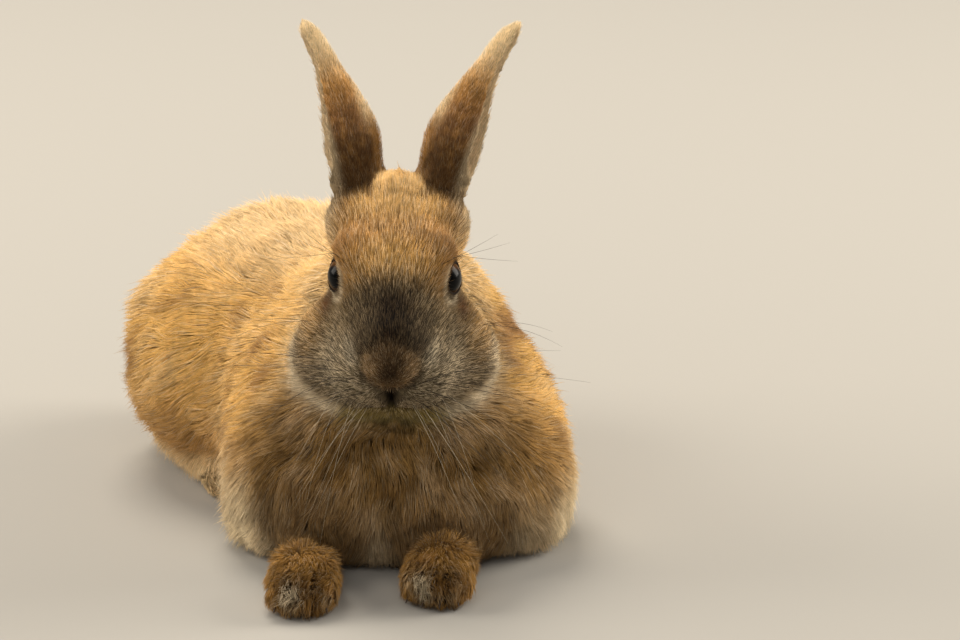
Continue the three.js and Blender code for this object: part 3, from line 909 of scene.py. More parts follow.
# %% [markdown]
# The face is ticked, which means that dark and pale hairs stand side by side. A sooty bridge runs from the
# forehead to the nose, the cheeks are grey-brown with a pale rim along their outline that is painted rim
# light, and a dark tear mark lies below the front of each eye. The chin is pale under a clear edge, and its
# colour is darkened and turned olive as painted shade and painted bounce light, with painted shade in its
# middle. The pale crest between the ears is brightened as painted back light. All shapes are given along the
# head's own axes.

# %% The head's markings
TAN = paint("#b08042")
TICKED = paint("#6e5b3e")
MUZZLE_GREY = paint("#a08f72")
CHEEK = paint("#8a7658")
PALE_JAW_AND_CHEEK_RIM_LIGHT = paint("#d9c6a6")
NOSE_RIM = paint("#bfb196")
CHIN_WITH_PAINTED_SHADE_AND_BOUNCE = paint("#94804e")
TEAR = paint("#54300f")
CREST = paint("#ffd08a")
TEMPLE = paint("#b09a78")
EAR_DARK = paint("#5e4122")

speckle = cloud(local, 1.6, 9)
upper_head = smooth(lz, -6, 10)
bridge = smooth(ly, -12, -26) * smooth(ly, -50, -42) * smooth(lz, -2, 4)
dark_arc = smooth(ly - 33.5 - 3.5 * smooth(lx, 6, 16), -1.5, 1) * smooth(lx, 7, 10) * smooth(lx, 28, 22)
crest_shadow = hump(ly - 33, 2.4) * smooth(lx, 14, 9) * smooth(lz, 8, 12)
chin_edge = smooth(-lz, 31 + 0.014 * lx ** 2, 33.5 + 0.016 * lx ** 2) * smooth(lx, 25, 19)
head_mark = layered(
    TICKED,
    (TAN, smooth(ly, -20, 2) * upper_head),
    (FAWN, smooth(ly, 4, 24) * (1 - upper_head)),
    (GOLD, 0.5 * smooth(ly, 20, 30) * upper_head * smooth(lx, 24, 14)),
    (UMBER, 0.35 * bump_at(local, (0, 14, 16), (13, 6, 12))),
    (UMBER, 0.7 * bump_at(local, (19, 6, 10), (7, 12, 9))),
    (GOLD, 0.6 * bump_at(local, (0, -2, 16), (17, 8, 9))),
    (FAWN, 0.75 * smooth(ly, -12, 8) * smooth(lz, -10, -28)),
    (MUZZLE_GREY, 0.85 * smooth(ly, -14, -34) * smooth(lz, -2, -14)),
    (SOOTY_DARK_AND_PAINTED_SHADE, 0.45 * smooth(speckle, 0.0, 0.6) * smooth(ly, -20, -34) * smooth(lz, -6, -14)),
    (NOSE_RIM, 0.8 * bump_at(local, (17.5, -41, -2), (4, 9, 5))),
    (CHEEK, 0.8 * smooth(lx, 20, 32) * smooth(lz, -18, -32)),
    (FAWN, 0.6 * bump_at(local, (34, -7, -23), (7, 12, 9))),
    # painted rim light along the cheek's outline
    (PALE_JAW_AND_CHEEK_RIM_LIGHT, 0.7 * smooth(lx, 37, 42) * smooth(ly, 8, -6)),
    (SOOTY_DARK_AND_PAINTED_SHADE, 0.5 * hump(lx, 16) * bridge),
    (SOOTY_DARK_AND_PAINTED_SHADE, 0.95 * hump(lx, 9) * bridge),
    (SOOTY_DARK_AND_PAINTED_SHADE, 0.5 * bump_at(local, (32.5, -24, -27.5), (5, 7, 5))),
    (SOOTY_DARK_AND_PAINTED_SHADE, 0.3 * bump_at(local, (24, -31, -24), (5, 7, 5))),
    (SOOTY_DARK_AND_PAINTED_SHADE, 0.7 * bump_at(local, (12, -39, 2), (4.5, 6, 4))),
    (TEAR, bump_at(local, (27, -4.5, -13), (4.2, 5, 4.5)) ** 0.7),
    (SOOTY_DARK_AND_PAINTED_SHADE, 0.5 * bump_at(local, (24, 6, 13), (5, 9, 5))),
    (SOOTY_DARK_AND_PAINTED_SHADE, 0.6 * smooth(speckle, 0.3, 0.7) * bump_at(local, (12, -44, -20), (12, 12, 8))),
    # painted back light: the pale crest between the ears is brightened as far as the colours go
    (CREST, bump_at(local, (0, 43, 20), (9, 15, 14)) ** 0.5),
    (EAR_DARK, 0.85 * crest_shadow),
    (EAR_DARK, 0.92 * dark_arc * smooth(lz, -1, 5)),
    (TEMPLE, 0.9 * bump_at(local, (31, 36, 2), (6, 14, 15)) ** 0.7),
    (PALE_JAW_AND_CHEEK_RIM_LIGHT, 0.6 * smooth(lz, -38, -42) * smooth(lx, 14, 22)),
    # painted shade and painted bounce light: the chin's colour is darkened and turned olive
    (CHIN_WITH_PAINTED_SHADE_AND_BOUNCE, chin_edge * smooth(ly, -20, -32)),
    # painted shade in the middle of the chin, below the mouth
    (SOOTY_DARK_AND_PAINTED_SHADE, 0.55 * hump(lx, 9) * smooth(lz, -38, -42) * smooth(ly, -20, -32)),
)
print("mean colour of the head:", head_mark.mean(axis=0).round(3))

# %% [markdown]
# The nose has short dark hair inside a rounded triangle above the slits. Skin without hair is nearly black:
# it lines the slits and the cleft, and edges the lids. The slits, the cleft and the mouth line get that dark
# also as painted shade in their grooves. A pale ring of fur stands round the eye.

# %% The nose and the lids
NOSE_BROWN = paint("#a08058")
NOSE_DARK = paint("#2a1607")
LID = paint("#1d120d")
EYE_RING = paint("#e2d0b0")
NOSE_HALF_WIDTH = 11.8
NOSE_TOP = 9.5

slits, cleft, mouth = muzzle_lines(lx, ly, lz)
slit_line = NOSE_CORNER + SLIT_LIFT * (lx / SLIT_REACH) ** 1.6
nose_top = NOSE_TOP - 9 * (lx / NOSE_HALF_WIDTH) ** 2
nose_shape = smooth(nose_top - lz, -2.0, 2.0) * smooth(lz - slit_line, -1, 0.5)
nose_shape = nose_shape * smooth(NOSE_HALF_WIDTH - lx, -1.5, 2.0) * smooth(ly, -38, -43)
nose_mark = layered(
    NOSE_BROWN,
    (NOSE_DARK, 0.88 * hump(lx, 7.5) * hump(lz - 0.5, 8)),
    (NOSE_DARK, 0.5 * smooth(lz, 3, 9)),
)
lid_line = smooth(lid_opening, 1.16, 1.04)
# bare dark skin, and painted shade in the grooves of the slits, the cleft and the mouth
bare_skin_and_groove_shade = np.maximum(0.85 * slits ** 0.4, np.maximum(cleft ** 0.35, 0.2 * mouth))
pale_ring = smooth(lid_opening, 1.1, 1.18) * smooth(lid_opening, 1.64, 1.38)
pale_ring = pale_ring * smooth(ly, -1, -4) * smooth(lz, -12, -7)
head_mark = layered(
    mix(head_mark, nose_mark, nose_shape),
    (EYE_RING, 0.75 * pale_ring),
    (LID, np.maximum(0.95 * lid_line, bare_skin_and_groove_shade)),
)
print("points in the dark of the nose and the lids:", int((np.maximum(lid_line, bare_skin_and_groove_shade) > 0.5).sum()))

# %% [markdown]
# An ear is dark at its root and pales towards the tip. The pale tip, and a pale upper edge on the side
# towards the middle of the head, are painted light as well: they stand for the sun shining through the thin
# ear. Along it the middle line bows a little, so places on the ear are told from that bowed line: which side
# of it they lie on, and whether they face it, as the lining of the ear does.

# %% The ears' markings
EAR_TAN = paint("#c4904f")
EAR_LINING = paint("#e8cda4")
EAR_PALE_AND_BACKLIGHT = paint("#ffdfab")
EAR_CORE_BOW = 5.5

ear_side = np.where(on_left_ear, 1.0, -1.0)
core_bow = -ear_side * EAR_CORE_BOW * 4 * along_ear * (1 - along_ear)
ear_core = ear_root + ear_rise * along_ear[:, None] + np.array([1.0, 0, 0]) * core_bow[:, None]
ear_lateral = ear_side * (places - ear_core)[:, 0]
lining = smooth(((ear_core - places) * normals).sum(axis=1), -0.5, 2.0) * smooth(along_ear, 0.03, 0.24)
ear_mark = layered(
    EAR_DARK,
    (UMBER, smooth(along_ear, 0.24, 0.48)),
    (EAR_TAN, smooth(along_ear, 0.44, 0.68)),
    (EAR_TAN, 0.55 * patchy(1.3, 21, 0.1, 0.6) * smooth(along_ear, 0.12, 0.4)),
    # pale tip, also painted light where the sun shines through the thin ear
    (EAR_PALE_AND_BACKLIGHT, smooth(along_ear, 0.60, 0.88)),
    # painted light: a pale upper edge on the side towards the middle of the head
    (EAR_PALE_AND_BACKLIGHT, 0.75 * smooth(ear_lateral, -4, -9) * smooth(along_ear, 0.34, 0.52)),
    (EAR_TAN, 0.7 * smooth(ear_lateral, -7, -10) * smooth(along_ear, 0.5, 0.34)),
    (TEMPLE, 0.9 * smooth(ear_lateral - 3.5 * along_ear, 4.0, 6.5) * smooth(along_ear, 0.7, 0.5)),
    (EAR_LINING, lining),
)
print("points in the ears' lining:", int((lining * part["ear"] > 0.5).sum()))

# %% [markdown]
# The forepaws are russet with a cream spot on a toe, and the clefts between the toes get painted shade in the
# sooty dark. With them every part has its markings, and the soft borders of the parts blend all into one
# coat.
# Each point's colour is kept in an attribute of the mesh, which the materials read.

# %% The paws' markings, and one coat of all
RUST = paint("#ac7f3f")
PAW_CREAM = paint("#e2d0ae")
UNDERFUR_AND_DEEP_SHADE = 0.62

cream_spot = hump(paw_out + 4, 2.1) * hump(paw_ahead - 5, 5) * hump(height - 9, 3.6)
pale_fluff = patchy(2.5, 12, 0.1, 0.5) * smooth(paw_ahead, -4, 2) * smooth(height, 17, 12)
MARKS = {
    "trunk": body_mark,
    # painted light on the top of the neck
    "neck": layered(body_mark, (STRAW, 0.6 * smooth(height, 70, 100))),
    "head": head_mark,
    "tail": layered(STRAW, (FAWN, 0.7 * smooth(height, 40, 60))),
    "ear": ear_mark,
    "foreleg": elbow_mark,
    "forepaw": layered(
        RUST,
        (UMBER, 0.4 * patchy(5, 14, 0.0, 0.6)),
        (PAW_CREAM, 0.4 * pale_fluff),
        (PAW_CREAM, np.minimum(1.3 * cream_spot, 0.9)),
        # painted shade in the clefts between the toes
        (SOOTY_DARK_AND_PAINTED_SHADE, 0.95 * toe_gap ** 0.55 * toe_front * smooth(cream_spot, 0.5, 0.15)),
    ),
    "hindleg": body_mark,
    "hindfoot": layered(STRAW, (FAWN, 0.4 * smooth(height, 10, 20))),
}
marks = sum(part[kind][:, None] * MARKS[kind] for kind in KINDS)


def store_colour(mesh, colours):
    """Keeps a colour for each vertex, under the name that the materials read."""
    layer = mesh.color_attributes.new("Coat", "FLOAT_COLOR", "POINT")
    filled = np.column_stack([colours, np.ones(len(colours))])
    layer.data.foreach_set("color", filled.astype(np.float32).ravel())


# Painted shade: the skin's colour is darkened for the underfur and the shade deep in the coat. On the ears it
# is darkened less, as painted light through the thin ear.
store_colour(skin_mesh, marks * mix(UNDERFUR_AND_DEEP_SHADE, 0.85, part["ear"])[:, None])
print("mean colour of the coat:", marks.mean(axis=0).round(3))

# %% [markdown]
# Skin under fur is seen only in the partings, where the soft underfur is darker than the tips, so its stored
# colour is darkened, also as painted shade deep in the coat. Its material reads the stored markings, breaks
# them with a fine noise, and has a bump of short flat hair, which carries the look on the lids, the nose and
# the ears.

# %% Skin and coat materials
def noise_node(nodes, links, scale, detail=2.0):
    """A noise that follows the piece, with so many waves to the metre."""
    place = nodes.new("ShaderNodeTexCoord")
    noise = nodes.new("ShaderNodeTexNoise")
    noise.inputs["Scale"].default_value = scale
    noise.inputs["Detail"].default_value = detail
    links.new(place.outputs["Object"], noise.inputs["Vector"])
    return noise


def stored_node(nodes, name):
    """What is stored on the mesh under a name."""
    stored = nodes.new("ShaderNodeAttribute")
    stored.attribute_name = name
    return stored


def fur_material(name, grain, bump_height, sheen):
    """A soft matt finish that shows the stored colours, with a grain of so many waves to the metre."""
    material, nodes, links, shader = material_with_shader(
        name,
        Roughness=0.82,
        Sheen_Weight=sheen,
        Sheen_Roughness=0.5,
        Sheen_Tint=(1.0, 0.93, 0.82, 1),
        Specular_IOR_Level=0.12,
    )
    stored = stored_node(nodes, "Coat")
    noise = noise_node(nodes, links, grain, 3.0)
    shade = nodes.new("ShaderNodeMapRange")
    for socket, value in {"From Min": 0.3, "From Max": 0.7, "To Min": 0.82, "To Max": 1.18}.items():
        shade.inputs[socket].default_value = value
    tone = nodes.new("ShaderNodeHueSaturation")
    bump = nodes.new("ShaderNodeBump")
    bump.inputs["Strength"].default_value = 0.6
    bump.inputs["Distance"].default_value = bump_height * MM
    links.new(noise.outputs["Fac"], shade.inputs["Value"])
    links.new(stored.outputs["Color"], tone.inputs["Color"])
    links.new(shade.outputs["Result"], tone.inputs["Value"])
    links.new(tone.outputs["Color"], shader.inputs["Base Color"])
    links.new(noise.outputs["Fac"], bump.inputs["Height"])
    links.new(bump.outputs["Normal"], shader.inputs["Normal"])
    return material


skin_mesh.materials.append(fur_material("rabbit_skin", 900, 0.35, 0.0))
coat_material = fur_material("rabbit_fur", 350, 0.05, 0.04)
print("skin and coat have their materials")

# %% [markdown]
# The eye is one polished ball: a dark oval pupil in a brown iris, streaked from the middle outwards, with
# a nearly black rim. A real eye has a clear cornea over the iris. At this size a clear coat over the
# painted iris gives the same wet highlight, and a slight swelling of the front gives the cornea's bulge.

# %% The eyes
CORNEA_SPREAD = math.radians(42)
CORNEA_SWELLING = 0.2
IRIS_EDGE = math.radians(76)
STREAK_DEPTH = 0.06
IRIS_RINGS = [
    # how far out from the pupil's middle to the rim, and the colour there
    (0.00, "#020202"),
    (0.40, "#030202"),
    (0.46, "#1c1007"),
    (0.58, "#54340f"),
    (0.74, "#6b4418"),
    (0.88, "#3a230d"),
    (0.95, "#120a05"),
    (1.00, "#080504"),
]

eye_material, nodes, links, shader = material_with_shader(
    "rabbit_eye", Roughness=0.3, Specular_IOR_Level=0.05, Coat_Weight=0.22, Coat_Roughness=0.03, Coat_IOR=1.33
)
ring = stored_node(nodes, "Ring")
streaks = noise_node(nodes, links, 900, 4.0)
wobble = nodes.new("ShaderNodeMath")
wobble.operation = "MULTIPLY_ADD"
wobble.inputs[1].default_value = STREAK_DEPTH
iris = nodes.new("ShaderNodeValToRGB")
while len(iris.color_ramp.elements) < len(IRIS_RINGS):
    iris.color_ramp.elements.new(0.5)
for element, (position, code) in zip(iris.color_ramp.elements, IRIS_RINGS):
    element.position = position
    element.color = (*paint(code), 1)
links.new(streaks.outputs["Fac"], wobble.inputs[0])
links.new(ring.outputs["Fac"], wobble.inputs[2])
links.new(wobble.outputs["Value"], iris.inputs["Fac"])
links.new(iris.outputs["Color"], shader.inputs["Base Color"])

for side in SIDES:
    out_of_eye, front_of_eye, up_of_eye = eye_frame(side, GAZE_FORWARD, GAZE_UPWARD)
    bm = bmesh.new()
    bmesh.ops.create_uvsphere(bm, u_segments=48, v_segments=32, radius=EYE_RADIUS)
    turn = np.column_stack([front_of_eye, up_of_eye, out_of_eye])
    ring_layer = bm.verts.layers.float.new("Ring")
    for vertex in bm.verts:
        local_place = np.array(vertex.co)
        off_axis = math.acos(np.clip(local_place[2] / EYE_RADIUS, -1, 1))
        vertex[ring_layer] = min(off_axis / IRIS_EDGE, 1.0)
        swell = CORNEA_SWELLING * float(smooth(off_axis, CORNEA_SPREAD, 0))
        moved = turn @ (local_place * (1 + swell / EYE_RADIUS)) + eye_centres[side]
        vertex.co = to_metres(moved)
    bmesh.ops.recalc_face_normals(bm, faces=bm.faces)
    mesh = mesh_of(bm, f"eyeball_{side}")
    mesh.polygons.foreach_set("use_smooth", np.ones(len(mesh.polygons), bool))
    mesh.materials.append(eye_material)
    eye = in_scene(f"eyeball_{side}", mesh)
    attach(eye, "root")
    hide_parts(f"eye_{side}")
print("eyes made")

# %% [markdown]
# Now the coat. Each tuft is a thin closed strand with three sides: it leaves the skin steeply, bends over
# and lies down along the comb. Particle hair would be quicker to make, but it is lost when the model is
# exported, so the strands are real mesh. Neighbours lean towards a shared guide, which gathers them into
# the soft locks that long fur falls into.

# %% How long, thick and dense the coat is
FULLNESS = 0.98
TUFTS = {
    # part: (length mm, width mm, tufts to the square mm, gathering into locks, size of a lock, ticking)
    "trunk": (12.0, 0.38, 1.60, 0.60, 4.0, 0.18),
    "neck": (13.0, 0.42, 1.60, 0.50, 3.6, 0.20),
    "head": (6.0, 0.30, 3.80, 0.30, 1.6, 0.72),
    "tail": (12.0, 0.46, 1.40, 0.45, 3.0, 0.10),
    "ear": (2.7, 0.23, 3.40, 0.15, 1.5, 0.42),
    "foreleg": (11.0, 0.40, 1.90, 0.60, 3.6, 0.12),
    "forepaw": (5.8, 0.30, 3.60, 0.45, 2.4, 0.40),
    "hindleg": (12.0, 0.38, 1.60, 0.60, 4.0, 0.18),
    "hindfoot": (5.0, 0.36, 2.20, 0.30, 2.0, 0.15),
}
length, width, density, gather, lock_size, ticking = by_part(TUFTS)
print("mean length by the parts alone:", length.mean().round(1), "mm")

# %% [markdown]
# How high the coat stands is read from the solids, since they reach to its tips. The rest differs from
# place to place within a part: the face is short and dense, the cheeks and the throat are long, and lids,
# nostrils and the cleft are bare. Each measure starts from its part's value and is set anew, by a share
# for each point, in one place after another.

# %% Where the coat differs from its part
LOWEST_RISE = 0.3
HIGHEST_RISE = 14
CLUMP_RISE = 0.36
WRIST_RISE = 3.5
CREST_DROP = 2.5
PAW_RISE = 0.5
EAR_DROP = 0.3


def set_anew(values, *changes):
    """Values for each point that change to another value, by a share for each point."""
    for value, share in changes:
        values = mix(values, value, share)
    return values


reach = np.array([outline_tree.find_nearest(Vector(point))[3] for point in places])
rise_of_coat = np.clip(relaxed(np.minimum(reach, depth * 1.6 + 2), 6), LOWEST_RISE, HIGHEST_RISE)
rise_of_coat = rise_of_coat * (1 + CLUMP_RISE * clumps * (1 - part["head"]) * (1 - part["ear"]))
rise_of_coat = mix(rise_of_coat, np.minimum(rise_of_coat, WRIST_RISE), at_wrist)
rise_of_coat = np.maximum(rise_of_coat - CREST_DROP * on_crest, LOWEST_RISE)
rise_of_coat = rise_of_coat * (1 + PAW_RISE * part["forepaw"]) * (1 - EAR_DROP * part["ear"])

on_head = part["head"]
face = on_head * smooth(ly, 10, -14)
nose_end = on_head * smooth(ly, -38, -46)
cheek_fur = on_head * smooth(lz, -16, -40) * smooth(lx, 12, 24)
throat_fur = on_head * smooth(lz, -40, -56)
near_lines = on_head * np.maximum(slits, np.maximum(cleft, mouth)) ** 0.16
cleft_sides = on_head * hump(lx, 4.5) * smooth(lz, -5, -9) * smooth(lz, -32, -29) * smooth(ly, -30, -38)
in_chest = in_front * part["trunk"]
lining_share = lining * part["ear"]
between_toes = toe_gap * toe_front
underside = smooth(normals[:, 2], -0.75, -0.97) * (height < 6)

length = set_anew(
    length,
    (3.8, face * smooth(ly, -8, -24)),
    (2.0, nose_end),
    (9.0, cheek_fur * smooth(ly, -34, -8)),
    (12.0, throat_fur),
    (7.0, on_crest),
    (1.6, smooth(lid_opening, 2.2, 1.3)),
    (0.7, 0.95 * near_lines),
    (0.8, cleft_sides),
    (8.5, in_chest),
    (8.0, np.maximum(under_chest, at_wrist)),
    (4.2, lining_share),
)
length = length * (1 - 0.7 * between_toes)
width = set_anew(
    width,
    (0.30, face),
    (0.25, on_head * smooth(ly, -40, -47)),
    (0.20, smooth(lid_opening, 2.0, 1.3)),
    (0.38, in_chest),
)
density = set_anew(density, (4.6, face), (7.5, nose_end * (1 - throat_fur)), (1.8, throat_fur))
BARE_PLACES = [
    smooth(lid_opening, 1.16, 1.06),
    smooth(slits, 0.1, 0.35),
    smooth(cleft, 0.01, 0.1),
    0.8 * smooth(mouth, 0.3, 0.8),
    underside,
]
for bare in BARE_PLACES:
    density = density * (1 - bare)
density = set_anew(density, (3.1, in_chest * (density > 0.05)), (1.3, lining_share))
density = density * (1 - 0.75 * between_toes)
gather = mix(gather, 0.55, in_chest)
lock_size = mix(lock_size, 3.4, in_chest)
ticking = set_anew(
    ticking,
    (0.34, in_chest),
    (1.0, face * smooth(ly, -4, -20)),
    (0.8, nose_shape),
    (0.05, on_crest ** 0.5),
    (0.2, smooth(lid_opening, 2.0, 1.4)),
    (0.35, under_cheeks * smooth(lz, -33, -37)),
)
wander = mix(mix(0.62, 0.66, in_chest), 0.22, np.maximum(part["head"], part["ear"]))
print("mean length", length.mean().round(1), "mm, rise up to", rise_of_coat.max().round(1), "mm")

# %% [markdown]
# Tufts are scattered evenly over the skin, as many to the square millimetre as the part asks for. Each
# has a path: its root, one bend, and its tip. The path of a lock's guide pulls the paths round it
# together towards the tip. Last, each tip is set at its own height over the skin below it.

# %% Scattering tufts and bending them over
WANDER_SIZE = 8
LIE_JITTER = math.radians(9)
STRAY_SHARE = 0.07
ROOT_IN_SKIN = 0.3
FLOOR_CLEARANCE = 0.25
BEND_AT = 0.45
SHARES = (0.0, BEND_AT, 1.0)

triangle_areas = 0.5 * np.linalg.norm(
    np.cross(places[corners[:, 1]] - places[corners[:, 0]], places[corners[:, 2]] - places[corners[:, 0]]),
    axis=1,
)
skin_tree = BVHTree.FromPolygons(places.tolist(), corners.tolist())
triangle_marks = marks[corners].mean(axis=1)


def scattered(rng, chance):
    """Triangles to root tufts in, with a place inside each, by an expected number for each triangle."""
    total = np.cumsum(chance)
    number = int(total[-1])
    spots = (np.arange(number) + rng.random(number)) * (total[-1] / number)
    chosen = np.minimum(np.searchsorted(total, spots), len(chance) - 1)
    a, b = rng.random((2, number))
    over = a + b > 1
    a, b = np.where(over, 1 - a, a), np.where(over, 1 - b, b)
    return chosen, np.column_stack([1 - a - b, a, b])


def bent_path(root, up, lie, long, high, share):
    """Where a tuft is at a share of its length: steep at the root, and level at the tip."""
    forwards = long * (0.55 * share + 0.45 * share ** 2)
    upwards = high * (2 * share - share ** 2)
    return root + lie * forwards[:, None] + up * upwards[:, None]


def lock_guides(rng, root, spacing, area):
    """For each tuft, the number of the tuft that leads its lock."""
    number = len(root)
    guides = rng.choice(number, max(1, int(area / spacing ** 2)), replace=False)
    tree = KDTree(len(guides))
    for index, guide in enumerate(guides):
        tree.insert(root[guide], index)
    tree.balance()
    return guides[[tree.find(point)[1] for point in root]]


def combed_tufts(rng, where):
    """The paths of all tufts on some triangles of the skin, and what their shape and colour need."""
    chance = triangle_areas * density[corners].mean(axis=1) * where * FULLNESS
    chosen, weights = scattered(rng, chance)
    number = len(chosen)

    def at_roots(values):
        return np.einsum("nk...,nk->n...", values[corners[chosen]], weights)

    up = unit(at_roots(normals))
    lie = unit(at_roots(comb))
    root = at_roots(places) - ROOT_IN_SKIN * up
    stray = rng.random(number) < STRAY_SHARE
    long = at_roots(length) * rng.uniform(0.75, 1.2, number) * np.where(stray, 1.2, 1.0)
    high = at_roots(rise_of_coat) * rng.uniform(0.85, 1.25, number) * np.where(stray, 1.25, 1.0)
    thick = at_roots(width) * rng.uniform(0.75, 1.25, number) * np.where(stray, 0.7, 1.0)
    hold = at_roots(gather) * rng.uniform(0.6, 1.2, number) * np.where(stray, 0.3, 1.0)
    turn = at_roots(wander) * cloud(root, WANDER_SIZE, 21) + LIE_JITTER * rng.standard_normal(number)
    across = np.cross(up, lie)
    lie = unit(np.cos(turn)[:, None] * lie + np.sin(turn)[:, None] * across)

    spacing = at_roots(lock_size).mean() / math.sqrt(FULLNESS)
    guide = lock_guides(rng, root, spacing, (triangle_areas * where).sum())
    path = []
    for share in SHARES:
        own = bent_path(root, up, lie, long, high, share)
        lead = bent_path(root[guide], up[guide], lie[guide], long[guide], high[guide], share)
        lead = lead + 0.25 * (root - root[guide])
        path.append(mix(own, lead, np.clip(hold, 0, 0.9) * share ** 1.3))

    # The tip keeps its height over the skin that it ends above, and nothing goes under the floor.
    found = [skin_tree.find_nearest(tip) for tip in path[-1].tolist()]
    below = np.array([hit[0] for hit in found])
    skin_up = np.array([hit[1] for hit in found])
    wrong = high - ((path[-1] - below) * skin_up).sum(axis=1)
    wrong = np.clip(wrong, -4, 4) * 0.8
    for index, share in enumerate(SHARES):
        path[index] = path[index] + skin_up * (wrong * share ** 1.5)[:, None]
        path[index][:, 2] = np.maximum(path[index][:, 2], FLOOR_CLEARANCE)
    tip_mark = triangle_marks[np.array([hit[2] for hit in found])]
    root_mark = at_roots(marks)
    return {
        "path": path,
        "thick": thick,
        "up": up,
        "skin_up": skin_up,
        "root_mark": root_mark,
        "tip_mark": mix(tip_mark, root_mark, at_roots(at_wrist)),
        "ticking": at_roots(ticking),
        "lock": root[guide],
        "map": np.einsum("nkc,nk->nc", skin_uv[chosen], weights),
    }


# %% [markdown]
# A tuft's mesh is a spindle: a point at the root, a ring of three corners at the bend, and a point at the
# tip. It is closed, and it needs only six faces, so the coat can be twice as fine as with capped tubes.
# The normals lean towards the skin's, because light falls on fur as on one soft surface.

# %% The shape and the colours of tufts
CORNER_ANGLES = np.radians([90, 210, 330])
# Corner 0 is the root, 1 to 3 are the ring, and 4 is the tip.
STRAND_FACES = np.array([(2, 1, 0), (3, 2, 0), (1, 3, 0), (1, 2, 4), (2, 3, 4), (3, 1, 4)])
FLATNESS = 0.6
BRIGHTEST = 0.95
DARKEST = 0.002
CREAM_CAST = np.array([1.22, 1.03, 0.75])
PALE_BAND = paint("#d8b47c")
BAND_SHARE = 0.06


def strand_corners(rng, tufts):
    """The corners of all tufts, and the direction in which each takes the light."""
    (root, bend_place, tip), up, skin_up = tufts["path"], tufts["up"], tufts["skin_up"]
    roll = rng.uniform(-0.5, 0.5, len(up))
    direction = unit(tip - root)
    side_way = unit(np.cross(up, direction))
    top = np.cross(direction, side_way)
    rows = [root]
    normal_rows = [up]
    for angle in CORNER_ANGLES:
        radial = np.cos(angle + roll)[:, None] * side_way + FLATNESS * np.sin(angle + roll)[:, None] * top
        rows.append(bend_place + radial * (tufts["thick"] / 2)[:, None])
        normal_rows.append(unit(0.4 * radial + mix(up, skin_up, BEND_AT)))
    rows.append(tip)
    normal_rows.append(unit(skin_up + 0.35 * unit(tip - bend_place)))
    return np.stack(rows, axis=1), np.stack(normal_rows, axis=1)


def strand_colours(rng, tufts):
    """Dark at the root, for the hair's dark base and as painted shade deep in the coat, and lighter at the
    tip, with the ticking: dark and pale hairs among each other.
    """
    number = len(tufts["up"])
    tick = tufts["ticking"]
    fine_shade, broad_shade = cloud(tufts["lock"], 3.0, 31), cloud(tufts["lock"], 9.0, 32)
    lock_shade = 1 + (0.20 + 0.16 * tick) * fine_shade + 0.18 * broad_shade
    draw = rng.random(number)
    dark_hair = draw < mix(0.12, 0.50, tick)
    pale_hair = draw > mix(0.90, 0.74, tick)
    hair_shade = np.where(pale_hair, 1 + 0.9 * tick, 1 + 0.05 * tick)
    hair_shade = np.where(dark_hair, 1 - 0.66 * tick ** 0.7, hair_shade)
    shade = (lock_shade * hair_shade * rng.normal(1.0, 0.08, number))[:, None]
    root_mark, tip_mark = tufts["root_mark"], tufts["tip_mark"]
    # painted shade: the root is darkened for the hair's dark base and the shade deep in the coat
    root_colour = root_mark * shade * mix(0.72, 0.28, tick)[:, None]
    ring_colour = mix(root_mark, tip_mark, 0.5) * shade * mix(1.0, 0.80, tick)[:, None]
    tip_colour = tip_mark * shade * mix(1.12, 1.4, tick)[:, None]
    colours = np.stack([root_colour] + [ring_colour] * 3 + [tip_colour], axis=1)
    cream = colours.mean(axis=2, keepdims=True) * CREAM_CAST
    colours = mix(colours, cream, 0.5 * pale_hair[:, None, None])
    colours = mix(colours, PALE_BAND, BAND_SHARE * (tick * pale_hair)[:, None, None])
    too_bright = np.maximum(colours.max(axis=2, keepdims=True) / BRIGHTEST, 1.0)
    return np.maximum(colours / too_bright, DARKEST)


# %% [markdown]
# One call makes one piece of the coat. Every tuft has its own small patch on the OFBake map, at the place
# where the unwrapped skin has its root, so a texture baked from the model keeps each tuft's colour.

# %% One piece of the coat
TUFT_PATCH = 0.003
PATCH_CORNERS = np.array([(0.5, 0.0), (0.0, BEND_AT), (0.5, BEND_AT + 0.1), (1.0, BEND_AT), (0.5, 1.0)])


def grow(name, where, seed):
    """Makes one piece of the coat: tufts on the triangles of the skin where a mask is true."""
    rng = np.random.default_rng(seed)
    tufts = combed_tufts(rng, where)
    vertices, vertex_normals = strand_corners(rng, tufts)
    colours = strand_colours(rng, tufts)
    number, per_tuft = vertices.shape[:2]
    triangles = (STRAND_FACES[None] + (np.arange(number) * per_tuft)[:, None, None]).reshape(-1, 3)
    tuft_map = tufts["map"][:, None, :] + (PATCH_CORNERS - 0.5) * TUFT_PATCH

    mesh = bpy.data.meshes.new(name)
    mesh.vertices.add(number * per_tuft)
    mesh.vertices.foreach_set("co", to_metres(vertices.reshape(-1, 3)).astype(np.float32).ravel())
    mesh.loops.add(triangles.size)
    mesh.loops.foreach_set("vertex_index", triangles.astype(np.int32).ravel())
    mesh.polygons.add(len(triangles))
    mesh.polygons.foreach_set("loop_start", np.arange(0, triangles.size, 3, dtype=np.int32))
    mesh.polygons.foreach_set("use_smooth", np.ones(len(triangles), bool))
    uv_layer = mesh.uv_layers.new(name="OFBake")
    uv_values = tuft_map.reshape(-1, 2)[triangles.ravel()]
    uv_layer.data.foreach_set("uv", uv_values.astype(np.float32).ravel())
    store_colour(mesh, colours.reshape(-1, 3))
    mesh.update(calc_edges=True)
    mesh.normals_split_custom_set_from_vertices(vertex_normals.reshape(-1, 3).tolist())
    mesh.materials.append(coat_material)
    piece = in_scene(name, mesh)
    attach(piece, "root")
    print(f"{name}: {number} tufts, {len(triangles)} triangles")
    return len(triangles)


